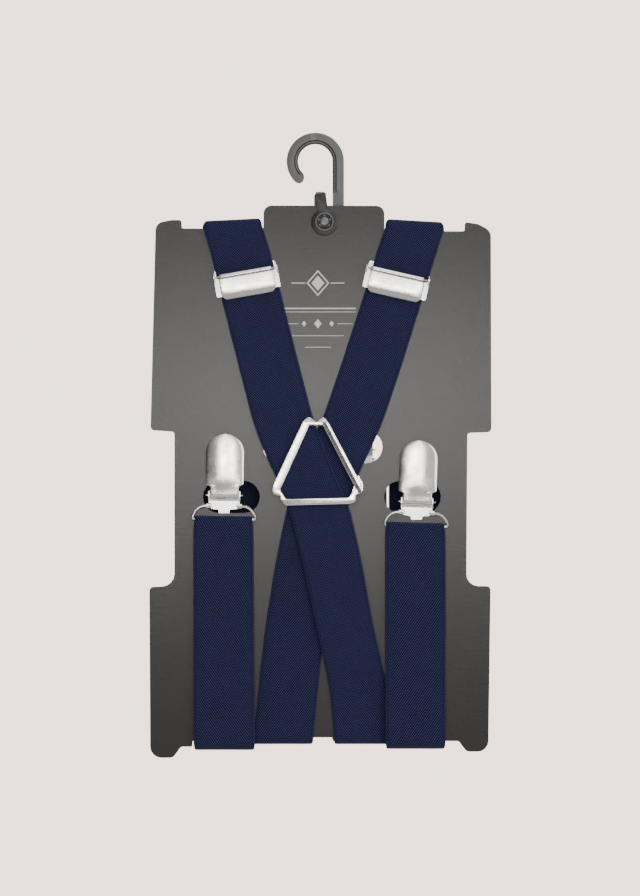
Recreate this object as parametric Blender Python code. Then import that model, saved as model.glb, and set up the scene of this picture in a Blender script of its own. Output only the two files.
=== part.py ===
"""Navy X-back elastic braces on a hanging display card.

Frame: metres, +Z up, +X to the right, -Y to the front. The
origin is the inner top of the hanger hook, the point a peg carries.
Every length below is written in millimetres and scaled by MM.
"""

import math

import bmesh
import bpy
from mathutils import Matrix, Vector
from mathutils.geometry import tessellate_polygon

MM = 0.001
GAP = 0.3                 # clearance between touching pieces

# ---------------------------------------------------------------- dimensions
CARD_T = 1.0              # board thickness
CARD_F = -CARD_T / 2      # y of the board's front face
# Board outline, clockwise from the top tab's left corner: x, z, corner radius
CARD_OUTLINE = [
    (-30.0, -35.6, 4.6), (40.0, -35.8, 4.6), (40.0, -50.5, 0.9),        # top tab
    (86.3, -50.5, 0.9), (86.5, -45.2, 1.4), (94.1, -46.3, 7.0),         # right ear
    (101.6, -50.3, 5.8), (101.9, -166.8, 2.6), (88.0, -167.2, 1.7),     # right side
    (87.4, -255.7, 8.1), (101.4, -255.8, 2.3),                          # right waist
    (100.1, -351.6, 8.7), (87.5, -351.5, 3.5), (82.8, -345.4, 1.7),     # lower ear
    (10.2, -345.4, 0.6), (9.7, -343.3, 0.6),                            # bottom floor
    (-2.5, -343.3, 0.6), (-3.1, -345.4, 0.6),
    (-70.9, -345.4, 0.4), (-71.3, -348.7, 0.4), (-77.7, -348.7, 2.3),
    (-82.3, -355.1, 3.5), (-95.5, -355.1, 8.1), (-96.0, -256.3, 2.3),   # lower ear
    (-81.5, -255.7, 8.1), (-81.5, -166.6, 1.7), (-95.3, -165.6, 2.3),   # left waist
    (-95.0, -151.0, 30.0), (-92.6, -55.5, 30.0),                        # left side
    (-92.4, -45.7, 5.2), (-82.9, -44.0, 4.0), (-77.5, -44.0, 1.3),      # left ear
    (-77.1, -48.9, 0.9), (-30.0, -48.9, 0.9),
]
WINDOW_W, WINDOW_H = 32.9, 18.7                 # obround clip windows
WINDOWS = [(56.2, -204.2), (-48.5, -204.2), (22.4, -175.3), (-13.8, -175.3)]
STUD_X, STUD_Z, STUD_HOLE_R = 5.3, -44.9, 3.0

# Straps: thickness of one layer of webbing
WEB_T = 1.2

# Hanger hook
HOOK_IN_R, HOOK_W = 10.0, 6.6                   # inner radius, bar width
HOOK_Y0, HOOK_Y1 = 0.8, 3.4                     # behind the board
STUD_R = 2.5

# Clips (local: u across, v up, w out of the board; the pin lies at 0, 0, 0)
PIN_R, BARREL_IN, BARREL_T = 0.5, 0.8, 0.55
PIN_OUT = 1.7                                   # pin axis in front of the board face
LID_W, NECK_W, LID_L = 21.9, 16.6, 35.3
BASE_T, JAW_W, BODY_W, EAR_T = 0.7, 14.0, 17.8, 0.6
WIRE_R, WIRE_V, WIRE_W = 0.8, -6.2, 0.35        # wire radius, height and depth of its axis
LUG_IN, LUG_T = 1.1, 0.5
CLIPS = {                                       # name: x, z, turn in degrees, side
    "front_left": (-52.6, -203.2, -0.8, 1),
    "front_right": (58.8, -207.0, -2.0, 1),
    "back_left": (-12.9, -177.0, 0.0, -1),
    "back_right": (24.0, -177.0, 0.0, -1),
}

# Adjusters (local: a across, b up the strap, w out of the board plane)
ADJUSTERS = {                                   # name: x, z, turn in degrees
    "left": (-39.3, -80.4, 9.8),
    "right": (46.6, -81.3, -12.8),
}
FRAME_HW, FRAME_T, FRAME_LO, FRAME_HI = 18.7, 0.7, -5.6, 10.2
EAR_LO, EAR_W = -5.4, 4.6
HINGE_B, HINGE_W = 5.9, 4.9
COVER_HW, COVER_T = 16.0, 0.8

# Crossing ring: outer and inner outline, x, z, corner radius
RING_OUTER = [
    (-3.9, -157.4, 2.4), (0.5, -161.0, 0.8), (4.9, -157.4, 2.4), (9.4, -161.8, 2.0),
    (27.4, -196.5, 2.0), (27.5, -201.6, 3.0), (23.6, -203.0, 0.5), (23.2, -206.9, 1.6),
    (19.9, -208.2, 1.2), (-17.2, -209.1, 1.6), (-20.1, -205.6, 1.0), (-20.2, -203.6, 0.4),
    (-25.0, -202.6, 3.0), (-24.6, -197.6, 2.4), (-7.3, -160.6, 2.0),
]
RING_INNER = [
    (-3.3, -162.8, 0.8), (2.9, -162.8, 0.8), (22.0, -199.5, 1.4), (19.0, -204.4, 1.2),
    (-16.9, -205.3, 1.2), (-20.4, -200.4, 1.4),
]
RING_POSTS = [(1.2, -161.8, 0.8), (-22.1, -200.6, 1.3), (25.4, -199.9, 1.3)]
RING_FRONT_Y = (-8.2, -6.7)
RING_REAR_Y = (-3.6, -2.6)


# ------------------------------------------------------------------- helpers
def clear_scene():
    for ob in list(bpy.data.objects):
        bpy.data.objects.remove(ob, do_unlink=True)


def material(name, rgb, rough, metal):
    m = bpy.data.materials.get(name) or bpy.data.materials.new(name)
    m.use_nodes = True
    p = m.node_tree.nodes["Principled BSDF"]
    p.inputs["Base Color"].default_value = (*rgb, 1.0)
    p.inputs["Roughness"].default_value = rough
    p.inputs["Metallic"].default_value = metal
    m.diffuse_color = (*rgb, 1.0)
    return m


def make(name, verts, faces, mat, origin=(0, 0, 0), smooth=False):
    """A mesh object from points in millimetres, its own origin at `origin`."""
    me = bpy.data.meshes.new(name)
    o = Vector(origin)
    me.from_pydata([(Vector(v) - o) * MM for v in verts], [], faces)
    bm = bmesh.new()
    bm.from_mesh(me)
    bmesh.ops.recalc_face_normals(bm, faces=bm.faces)
    bm.to_mesh(me)
    bm.free()
    me.materials.append(mat)
    ob = bpy.data.objects.new(name, me)
    ob.location = o * MM
    bpy.context.collection.objects.link(ob)
    if smooth:
        me.shade_smooth()
        me.set_sharp_from_angle(angle=math.radians(35))
    return ob


def cut_or_join(ob, other, operation):
    """EXACT boolean kept as a modifier; the other mesh is a hidden guide."""
    other.hide_render = True
    other.display_type = "WIRE"
    m = ob.modifiers.new(operation.lower(), "BOOLEAN")
    m.operation = operation
    m.object = other
    m.solver = "EXACT"


def rounded(outline, per_corner=4):
    """An outline of (x, z, radius) with each corner turned into an arc."""
    out = []
    n = len(outline)
    for i, (x, z, r) in enumerate(outline):
        p = Vector((x, z))
        a = Vector(outline[i - 1][:2]) - p
        b = Vector(outline[(i + 1) % n][:2]) - p
        la, lb = a.length, b.length
        a.normalize()
        b.normalize()
        half = a.angle(b) / 2
        cut = r / math.tan(half)
        cut = min(cut, 0.49 * la, 0.49 * lb)
        r = cut * math.tan(half)
        steps = per_corner if r > 1.0 else 2
        if math.pi - 2 * half < 0.2:
            steps = 2
        c = p + (a + b).normalized() * (r / math.sin(half))
        s, e = p + a * cut - c, p + b * cut - c
        turn = s.angle_signed(e)
        for k in range(steps + 1):
            q = s.copy()
            q.rotate(Matrix.Rotation(-turn * k / steps, 2))
            out.append((c.x + q.x, c.y + q.y))
    return out


def circle(x, z, r, n):
    return [(x + r * math.cos(2 * math.pi * k / n), z + r * math.sin(2 * math.pi * k / n))
            for k in range(n)]


def obround(x, z, w, h, n=10):
    r, d = h / 2, (w - h) / 2
    out = []
    for side in (1, -1):
        for k in range(n + 1):
            t = side * (-math.pi / 2 + math.pi * k / n) if side > 0 else math.pi / 2 + math.pi * k / n
            out.append((x + side * d + r * math.cos(t), z + r * math.sin(t)))
    return out


def plate(outline, holes, lo, hi, to3d):
    """Verts and faces of a flat plate with holes, between depths lo and hi.
    to3d(x, z, depth) places a point."""
    loops = [outline] + holes
    flat = [[Vector((x, z, 0)) for x, z in lp] for lp in loops]
    tris = tessellate_polygon(flat)
    pts = [p for lp in loops for p in lp]
    n = len(pts)
    verts = [to3d(x, z, lo) for x, z in pts] + [to3d(x, z, hi) for x, z in pts]
    faces = [tuple(t) for t in tris] + [tuple(i + n for i in reversed(t)) for t in tris]
    start = 0
    for lp in loops:
        m = len(lp)
        for k in range(m):
            i, j = start + k, start + (k + 1) % m
            faces.append((i, j, j + n, i + n))
        start += m
    return verts, faces


def front_plane(x, z, y):
    return (x, y, z)


def box_verts(lo, hi):
    v = [(x, y, z) for x in (lo[0], hi[0]) for y in (lo[1], hi[1]) for z in (lo[2], hi[2])]
    f = [(0, 1, 3, 2), (4, 6, 7, 5), (0, 4, 5, 1), (2, 3, 7, 6), (0, 2, 6, 4), (1, 5, 7, 3)]
    return v, f


def grid_solid(front, back):
    """Closed solid between two equal grids of points (rows of columns)."""
    rows, cols = len(front), len(front[0])
    verts = [p for r in front for p in r] + [p for r in back for p in r]
    n = rows * cols
    faces = []
    for i in range(rows - 1):
        for j in range(cols - 1):
            a, b, c, d = i * cols + j, i * cols + j + 1, (i + 1) * cols + j + 1, (i + 1) * cols + j
            faces.append((a, b, c, d))
            faces.append((d + n, c + n, b + n, a + n))
    rim = ([(0, j) for j in range(cols - 1)] + [(i, cols - 1) for i in range(rows - 1)]
           + [(rows - 1, j) for j in range(cols - 1, 0, -1)] + [(i, 0) for i in range(rows - 1, 0, -1)])
    ids = [i * cols + j for i, j in rim]
    for k, a in enumerate(ids):
        b = ids[(k + 1) % len(ids)]
        faces.append((b, a, a + n, b + n))
    return verts, faces


def profile_sheet(rows, cols, thick, place):
    """A bent sheet. rows: (v, w, half width, crown) down its length; the
    profile's normal gives the thickness, and the crown drops the side edges."""
    front, back = [], []
    for i, (v, w, hw, crown) in enumerate(rows):
        p0, p1 = rows[max(i - 1, 0)], rows[min(i + 1, len(rows) - 1)]
        tv, tw = p1[0] - p0[0], p1[1] - p0[1]
        ln = math.hypot(tv, tw)
        nv, nw = -tw / ln, tv / ln
        rf, rb = [], []
        for j in range(cols):
            t = -1 + 2 * j / (cols - 1)
            drop = crown * t * t
            rf.append(place(t * hw, v + nv * thick / 2, w + nw * thick / 2 - drop))
            rb.append(place(t * hw, v - nv * thick / 2, w - nw * thick / 2 - drop))
        front.append(rf)
        back.append(rb)
    return grid_solid(front, back)


def tube(points, r, sides, place):
    """A round wire along points (u, v, w), with flat ends."""
    pts = [Vector(p) for p in points]
    verts, faces = [], []
    ref = None
    for i, p in enumerate(pts):
        a, b = pts[max(i - 1, 0)], pts[min(i + 1, len(pts) - 1)]
        t = (b - a).normalized()
        if ref is None:
            ref = t.orthogonal().normalized()
        ref = (ref - t * ref.dot(t)).normalized()
        side = t.cross(ref)
        for k in range(sides):
            q = 2 * math.pi * (k + 0.5) / sides
            verts.append(place(*(p + (ref * math.cos(q) + side * math.sin(q)) * r)))
    n = len(pts)
    for i in range(n - 1):
        for k in range(sides):
            a, b = i * sides + k, i * sides + (k + 1) % sides
            faces.append((a, b, b + sides, a + sides))
    faces.append(tuple(reversed(range(sides))))
    faces.append(tuple((n - 1) * sides + k for k in range(sides)))
    return verts, faces


def extrude_across(poly, lo, hi, place):
    """A (v, w) polygon extruded along u."""
    n = len(poly)
    verts = [place(lo, v, w) for v, w in poly] + [place(hi, v, w) for v, w in poly]
    tris = tessellate_polygon([[Vector((v, w, 0)) for v, w in poly]])
    faces = [tuple(t) for t in tris] + [tuple(i + n for i in reversed(t)) for t in tris]
    for k in range(n):
        j = (k + 1) % n
        faces.append((k, j, j + n, k + n))
    return verts, faces


# ----------------------------------------------------------------- materials
NAVY = material("navy_webbing", (0.020, 0.024, 0.075), 0.85, 0.0)
BOARD = material("black_board", (0.045, 0.042, 0.040), 0.45, 0.0)
HOOK_PLASTIC = material("hook_plastic", (0.055, 0.055, 0.052), 0.38, 0.0)
SNAP_PLASTIC = material("snap_plastic", (0.012, 0.012, 0.012), 0.30, 0.0)
NICKEL = material("nickel_plate", (0.62, 0.61, 0.59), 0.22, 1.0)
STEEL = material("pin_steel", (0.50, 0.50, 0.50), 0.30, 1.0)
GRIP = material("grip_plastic", (0.60, 0.60, 0.57), 0.45, 0.0)


# ---------------------------------------------------------------------- card
def build_card():
    holes = [obround(x, z, WINDOW_W, WINDOW_H) for x, z in WINDOWS]
    holes.append(circle(STUD_X, STUD_Z, STUD_HOLE_R, 16))
    v, f = plate(rounded(CARD_OUTLINE), holes, CARD_F, -CARD_F, front_plane)
    make("display_card", v, f, BOARD)


# -------------------------------------------------------------------- hanger
def build_hanger():
    """A J hook of flat bar: rounded tip, arc over the origin, straight stem
    down behind the board, and a pad that carries the snap's stud."""
    cz = -HOOK_IN_R
    r_in, r_out = HOOK_IN_R, HOOK_IN_R + HOOK_W
    end = math.radians(224)
    outer = [(r_out * math.cos(end * k / 22), cz + r_out * math.sin(end * k / 22)) for k in range(23)]
    inner = [(r_in * math.cos(end * k / 22), cz + r_in * math.sin(end * k / 22)) for k in range(23)]
    # rounded tip
    mid = ((outer[-1][0] + inner[-1][0]) / 2, (outer[-1][1] + inner[-1][1]) / 2)
    rt = HOOK_W / 2
    tip = [(mid[0] + rt * math.cos(end + math.pi * k / 6), mid[1] + rt * math.sin(end + math.pi * k / 6))
           for k in range(1, 6)]
    pad = [(10.0, -37.0), (10.0, -38.5), (2.6 + 3.3, -38.5), (2.6 + 3.3, -29.2),
           (-0.7, -29.2), (-0.7, -38.5), (-3.0, -41.0), (-3.0, -55.0), (14.0, -55.0), (16.6, -52.0)]
    loop = outer + tip + list(reversed(inner)) + pad
    v, f = plate(loop, [], HOOK_Y0, HOOK_Y1, front_plane)
    hook = make("hanger_hook", v, f, HOOK_PLASTIC)
    stud_v, stud_f = tube([(STUD_X, 2.0, STUD_Z), (STUD_X, -2.6, STUD_Z), (STUD_X, -3.1, STUD_Z)],
                          STUD_R, 14, lambda x, y, z: (x, y, z))
    stud = make("guide_stud", stud_v, stud_f, HOOK_PLASTIC)
    cut_or_join(hook, stud, "UNION")
    # recess along the bar's inner half, front side: the flange stands proud of it
    rec_o = [((r_in + 2.0) * math.cos(math.radians(a)), cz + (r_in + 2.0) * math.sin(math.radians(a)))
             for a in range(0, 217, 12)]
    rec_i = [((r_in - 1.0) * math.cos(math.radians(a)), cz + (r_in - 1.0) * math.sin(math.radians(a)))
             for a in range(0, 217, 12)]
    v, f = plate([(12.0, -29.0)] + rec_o + list(reversed(rec_i)) + [(9.0, -29.0)], [],
                 HOOK_Y0 - 1.0, HOOK_Y0 + 0.8, front_plane)
    cut_or_join(hook, make("guide_recess", v, f, HOOK_PLASTIC), "DIFFERENCE")


SNAP_AXIS = (2.6, 0.0, -28.3)


def build_snap():
    """Tab and ring cap in one moulding; its living hinge is the axis."""
    cap = circle(5.35, -45.5, 7.7, 28)
    hole = circle(STUD_X, STUD_Z, 3.7, 16)
    v, f = plate(cap, [hole], -3.0, -0.9, front_plane)
    ob = make("snap_strap", v, f, SNAP_PLASTIC, origin=SNAP_AXIS)
    tab = [(-0.4, -28.6), (6.0, -27.9), (7.2, -37.0), (8.4, -39.8), (2.2, -39.8), (1.2, -37.6)]
    v, f = plate(tab, [], -2.2, -1.0, front_plane)
    cut_or_join(ob, make("guide_tab", v, f, SNAP_PLASTIC, origin=SNAP_AXIS), "UNION")


# --------------------------------------------------------------------- clips
def placer(x, z, turn, side, y_pin):
    """Local u, v, w to the object's frame. side 1 faces -Y, side -1 faces +Y."""
    c, s = math.cos(math.radians(turn)), math.sin(math.radians(turn))

    def place(u, v, w):
        u2 = u * side
        return (x + u2 * c - v * s, y_pin - side * w, z + u2 * s + v * c)
    return place


def lid_rows():
    """The lid's profile: rolled round the pin, narrow neck, shoulders, a
    crowned blade and a rounded free end."""
    r = BARREL_IN + BARREL_T / 2
    rows = []
    for k in range(10):
        q = math.radians(-285 + 285 * k / 9)
        rows.append((r * math.sin(q), r * math.cos(q), 8.3 if k < 9 else 8.0, 0.0))
    nk, lw = NECK_W / 2, LID_W / 2
    rows += [(1.5, r + 0.02, nk, 0.0), (3.4, 1.2, nk, 0.05), (4.6, 1.35, nk + 0.1, 0.15),
             (5.4, 1.45, nk + 0.7, 0.4), (6.2, 1.55, lw - 0.5, 0.8), (7.4, 1.7, lw, 1.1),
             (16.0, 1.9, lw, 1.5), (25.0, 1.7, lw, 1.5), (28.0, 1.6, lw - 0.6, 1.35),
             (30.6, 1.5, lw - 1.9, 1.1), (32.6, 1.4, lw - 3.7, 0.8), (34.1, 1.33, lw - 6.0, 0.4),
             (35.0, 1.3, lw - 8.2, 0.15), (LID_L, 1.28, lw - 9.9, 0.0)]
    return rows


def base_rows():
    jw, bw = JAW_W / 2, BODY_W / 2
    return [(31.0, -4.15, jw - 2.0, 0), (30.0, -4.15, jw, 0), (6.6, -4.15, jw, 0),
            (4.0, -3.35, jw + 0.6, 0), (2.2, -2.75, bw, 0), (0.2, -2.2, bw, 0), (-1.2, -1.8, bw, 0),
            (-2.5, -1.15, bw, 0), (-3.4, -1.0, bw, 0), (-7.7, -1.0, bw, 0),
            (-8.3, -1.0, 3.4, 0), (-10.3, -1.0, 3.0, 0)]


def build_clip(name, x, z, turn, side):
    y_pin = -side * (CARD_T / 2 + PIN_OUT)
    place = placer(x, z, turn, side, y_pin)
    pin_at = place(0, 0, 0)
    # base plate: jaw behind the board, ramp through the window, body in front
    rows = [(v, w, hw, c) for v, w, hw, c in reversed(base_rows())]
    v, f = profile_sheet(rows, 2, BASE_T, place)
    base = make(f"clip_base_{name}", v, f, NICKEL, origin=pin_at)
    ear = [(-4.0, -1.2), (-3.9, -0.2), (-2.6, 1.0), (-0.9, 1.75), (0.9, 1.75), (2.3, 0.9),
           (2.9, -0.6), (3.1, -2.95), (1.0, -2.55), (-1.0, -1.95)]
    hole = [(0.8 * math.sin(2 * math.pi * k / 10), 0.8 * math.cos(2 * math.pi * k / 10)) for k in range(10)]
    for s in (-1, 1):
        lo, hi = (8.65, 8.65 + EAR_T) if s > 0 else (-8.65 - EAR_T, -8.65)
        loops = [ear, hole]
        tris = tessellate_polygon([[Vector((a, b, 0)) for a, b in lp] for lp in loops])
        pts = ear + hole
        n = len(pts)
        ev = [place(lo, a, b) for a, b in pts] + [place(hi, a, b) for a, b in pts]
        ef = [tuple(t) for t in tris] + [tuple(i + n for i in reversed(t)) for t in tris]
        start = 0
        for lp in loops:
            m = len(lp)
            for k in range(m):
                i, j = start + k, start + (k + 1) % m
                ef.append((i, j, j + n, i + n))
            start += m
        g = make(f"guide_ear_{name}_{s}", ev, ef, NICKEL, origin=pin_at)
        cut_or_join(base, g, "UNION")
        # lug: a roll round the wire's end, open to the rear
        arc = []
        for rr, order in ((LUG_IN + LUG_T, 1), (LUG_IN, -1)):
            ring = [(WIRE_V + rr * math.sin(math.radians(a)), WIRE_W + rr * math.cos(math.radians(a)))
                    for a in range(-200, 101, 30)]
            arc += ring if order > 0 else list(reversed(ring))
        lo, hi = (7.5, 10.2) if s > 0 else (-10.2, -7.5)
        lv, lf = extrude_across(arc, lo, hi, place)
        cut_or_join(base, make(f"guide_lug_{name}_{s}", lv, lf, NICKEL, origin=pin_at), "UNION")
    # lid
    v, f = profile_sheet(lid_rows(), 7, BARREL_T, place)
    make(f"clip_lid_{name}", v, f, NICKEL, origin=pin_at, smooth=True)
    # pin
    v, f = tube([(-10.7, 0, 0), (10.7, 0, 0)], PIN_R, 10, place)
    make(f"clip_pin_{name}", v, f, STEEL, origin=pin_at)
    # wire loop: its two ends lie in the lugs, its bar carries the strap
    half = [(6.9, WIRE_V), (10.2, WIRE_V), (12.4, -6.45), (14.9, -7.6), (16.8, -9.6), (17.9, -11.8),
            (18.1, -13.0), (17.6, -13.8), (16.6, -13.95)]
    line = [(-u, v, WIRE_W) for u, v in half] + [(u, v, WIRE_W) for u, v in reversed(half)]
    if side < 0:        # the back pair sits side by side, so its loops are a touch narrower
        line = [(u * 0.965, b, w) for u, b, w in line]
    v, f = tube(line, WIRE_R, 8, place)
    make(f"clip_wire_{name}", v, f, NICKEL, origin=place(0, WIRE_V, WIRE_W), smooth=True)
    # grip pad: a toothed strip of plastic between the jaw and the board
    back, root, tipw = -3.78, -3.4, -2.92
    poly = [(12.6, back), (12.6, root)]
    teeth = 6
    for k in range(teeth):
        v0 = 13.0 + k * 2.7
        poly += [(v0, root), (v0 + 0.9, tipw), (v0 + 1.5, tipw), (v0 + 2.3, root)]
    poly += [(29.6, root), (29.6, back)]
    v, f = extrude_across([(a, b + 0.0) for a, b in poly], -6.6, 6.6, place)
    make(f"clip_pad_{name}", v, f, GRIP, origin=place(0, 20, back))


# ----------------------------------------------------------------- adjusters
def build_adjuster(name, x, z, turn):
    place = placer(x, z, turn, 1, 0.0)
    centre = place(0, 0, 0)
    hinge = place(0, HINGE_B, HINGE_W)
    # stamped frame: rear plate with one long slot, so its top is a bar
    outer = rounded([(-17.8, FRAME_HI, 1.2), (17.8, FRAME_HI, 1.2), (17.9, 8.3, 0.5), (FRAME_HW, 7.5, 0.5),
                     (FRAME_HW, FRAME_LO, 1.2), (-FRAME_HW, FRAME_LO, 1.2), (-FRAME_HW, 7.5, 0.5),
                     (-17.9, 8.3, 0.5)], 3)
    slot = rounded([(-16.6, 7.2, 0.8), (16.6, 7.2, 0.8), (16.6, 2.2, 0.8), (-16.6, 2.2, 0.8)], 2)
    v, f = plate(outer, [slot], 0.8, 0.8 + FRAME_T, lambda a, b, w: place(a, b, w))
    fr = make(f"adjuster_frame_{name}", v, f, NICKEL, origin=centre)
    for s in (-1, 1):
        # side wall with a lip turned in over the strap's edge
        cs = [(18.0, 1.0), (18.65, 1.0), (18.65, EAR_W), (15.7, EAR_W), (15.7, EAR_W - 0.65), (18.0, EAR_W - 0.65)]
        n = len(cs)
        ev = [place(s * a, EAR_LO, w) for a, w in cs] + [place(s * a, HINGE_B - 1.2, w) for a, w in cs]
        tris = tessellate_polygon([[Vector((a, w, 0)) for a, w in cs]])
        ef = [tuple(t) for t in tris] + [tuple(i + n for i in reversed(t)) for t in tris]
        ef += [(k, (k + 1) % n, (k + 1) % n + n, k + n) for k in range(n)]
        cut_or_join(fr, make(f"guide_wall_{name}_{s}", ev, ef, NICKEL, origin=centre), "UNION")
        # hinge ear above the lip, with the pin's hole
        ear = [(HINGE_B - 3.4, 1.1), (HINGE_B - 3.4, 4.4), (HINGE_B - 1.5, 5.9), (HINGE_B - 0.5, 6.3),
               (HINGE_B + 0.6, 6.3), (HINGE_B + 1.5, 5.6), (HINGE_B + 1.8, 4.4), (HINGE_B + 1.8, 1.1)]
        hole = [(HINGE_B + 0.8 * math.sin(2 * math.pi * k / 10), HINGE_W + 0.8 * math.cos(2 * math.pi * k / 10))
                for k in range(10)]
        tris = tessellate_polygon([[Vector((a, b, 0)) for a, b in lp] for lp in (ear, hole)])
        pts = ear + hole
        n = len(pts)
        lo, hi = (17.95, 18.6) if s > 0 else (-18.6, -17.95)
        ev = [place(lo, a, b) for a, b in pts] + [place(hi, a, b) for a, b in pts]
        ef = [tuple(t) for t in tris] + [tuple(i + n for i in reversed(t)) for t in tris]
        start = 0
        for m in (len(ear), len(hole)):
            for k in range(m):
                i, j = start + k, start + (k + 1) % m
                ef.append((i, j, j + n, i + n))
            start += m
        cut_or_join(fr, make(f"guide_hinge_{name}_{s}", ev, ef, NICKEL, origin=centre), "UNION")
    # pin through both ears
    v, f = tube([(-18.75, HINGE_B, HINGE_W), (18.75, HINGE_B, HINGE_W)], PIN_R, 10, place)
    make(f"adjuster_pin_{name}", v, f, STEEL, origin=hinge)
    # cover: rolled round the pin, flat face, both long edges bent down
    r = BARREL_IN + COVER_T / 2
    rows = []
    for k in range(9):
        q = math.radians(-250 + 250 * k / 8)
        rows.append((HINGE_B - r * math.sin(q), HINGE_W + r * math.cos(q), COVER_HW - 1.6, 0.0))
    rows += [(HINGE_B - 1.3, HINGE_W + r, COVER_HW - 0.7, 0.0),
             (2.6, HINGE_W + r - 0.1, COVER_HW, 0.0), (-4.6, HINGE_W + r - 0.2, COVER_HW, 0.1),
             (-6.2, HINGE_W + r - 0.75, COVER_HW - 1.0, 0.1), (-7.4, HINGE_W + r - 1.9, COVER_HW - 2.0, 0.1)]
    v, f = profile_sheet([(a, b, c, d) for a, b, c, d in reversed(rows)], 5, COVER_T, place)
    cover = make(f"adjuster_cover_{name}", v, f, NICKEL, origin=hinge, smooth=True)
    cam = [(3.6, HINGE_W + r), (3.3, 3.5), (2.7, 3.4), (2.0, 4.4), (1.9, HINGE_W + r)]
    v, f = extrude_across(cam, -14.6, 14.6, place)
    cut_or_join(cover, make(f"guide_cam_{name}", v, f, NICKEL, origin=hinge), "UNION")


# ---------------------------------------------------------------------- ring
def build_ring():
    outer, inner = rounded(RING_OUTER, 3), rounded(RING_INNER, 3)
    v, f = plate(outer, [inner], RING_FRONT_Y[0], RING_FRONT_Y[1], front_plane)
    make("ring_front", v, f, NICKEL)
    v, f = plate(outer, [inner], RING_REAR_Y[0], RING_REAR_Y[1], front_plane)
    rear = make("ring_rear", v, f, NICKEL)
    for k, (x, z, r) in enumerate(RING_POSTS):
        v, f = tube([(x, RING_REAR_Y[1] - 0.5, z), (x, RING_FRONT_Y[1] + GAP, z)], r, 12, lambda a, b, c: (a, b, c))
        cut_or_join(rear, make(f"guide_post_{k}", v, f, NICKEL), "UNION")


# -------------------------------------------------------------------- straps
def ribbon(name, stations, side=1):
    """Webbing along stations (left point, right point, layers). The outer
    layer's middle runs through the points; a second layer lies inside it.
    side is the sign that makes path x width point away from the board."""
    grid = []
    n = len(stations)
    for i, (L, R, layers) in enumerate(stations):
        L, R = Vector(L), Vector(R)
        a, b = stations[max(i - 1, 0)], stations[min(i + 1, n - 1)]
        t = ((Vector(b[0]) + Vector(b[1])) - (Vector(a[0]) + Vector(a[1]))).normalized()
        nrm = (t.cross(R - L)).normalized() * side
        inner = -(WEB_T / 2 + (layers - 1) * (WEB_T + 0.1))
        grid.append([L + nrm * WEB_T / 2, R + nrm * WEB_T / 2, R + nrm * inner, L + nrm * inner])
    verts = [tuple(p) for r in grid for p in r]
    faces = []
    for i in range(n - 1):
        for k in range(4):
            a, b = i * 4 + k, i * 4 + (k + 1) % 4
            faces.append((a, b, b + 4, a + 4))
    faces.append((3, 2, 1, 0))
    m = (n - 1) * 4
    faces.append((m, m + 1, m + 2, m + 3))
    make(name, verts, faces, NAVY)


def run(points, step=14.0):
    """Stations along straight stretches: (y, Lx, Lz, Rx, Rz, layers)."""
    out = []
    for a, b in zip(points, points[1:]):
        ln = math.dist((a[0], (a[1] + a[3]) / 2, (a[2] + a[4]) / 2), (b[0], (b[1] + b[3]) / 2, (b[2] + b[4]) / 2))
        m = max(1, round(ln / step))
        for k in range(m):
            q = k / m
            p = [a[i] + (b[i] - a[i]) * q for i in range(5)]
            out.append(((p[1], p[0], p[2]), (p[3], p[0], p[4]), a[5]))
    p = points[-1]
    out.append(((p[1], p[0], p[2]), (p[3], p[0], p[4]), p[5]))
    return out


def fold(x0, x1, y0, y1, zL, zR, rise, layers, steps=8):
    """Half an ellipse over or under the board, from depth y0 to y1. x0 and x1
    are the (left, right) edges before and after; rise is negative at the foot."""
    out = []
    for k in range(1, steps):
        q = math.pi * k / steps
        y = (y0 + y1) / 2 + (y0 - y1) / 2 * math.cos(q)
        h = rise * math.sin(q)
        m = (1 - math.cos(q)) / 2
        lx = x0[0] + (x1[0] - x0[0]) * m
        rx = x0[1] + (x1[1] - x0[1]) * m
        out.append(((lx, y, zL + h), (rx, y, zR + h), layers))
    return out


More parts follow.
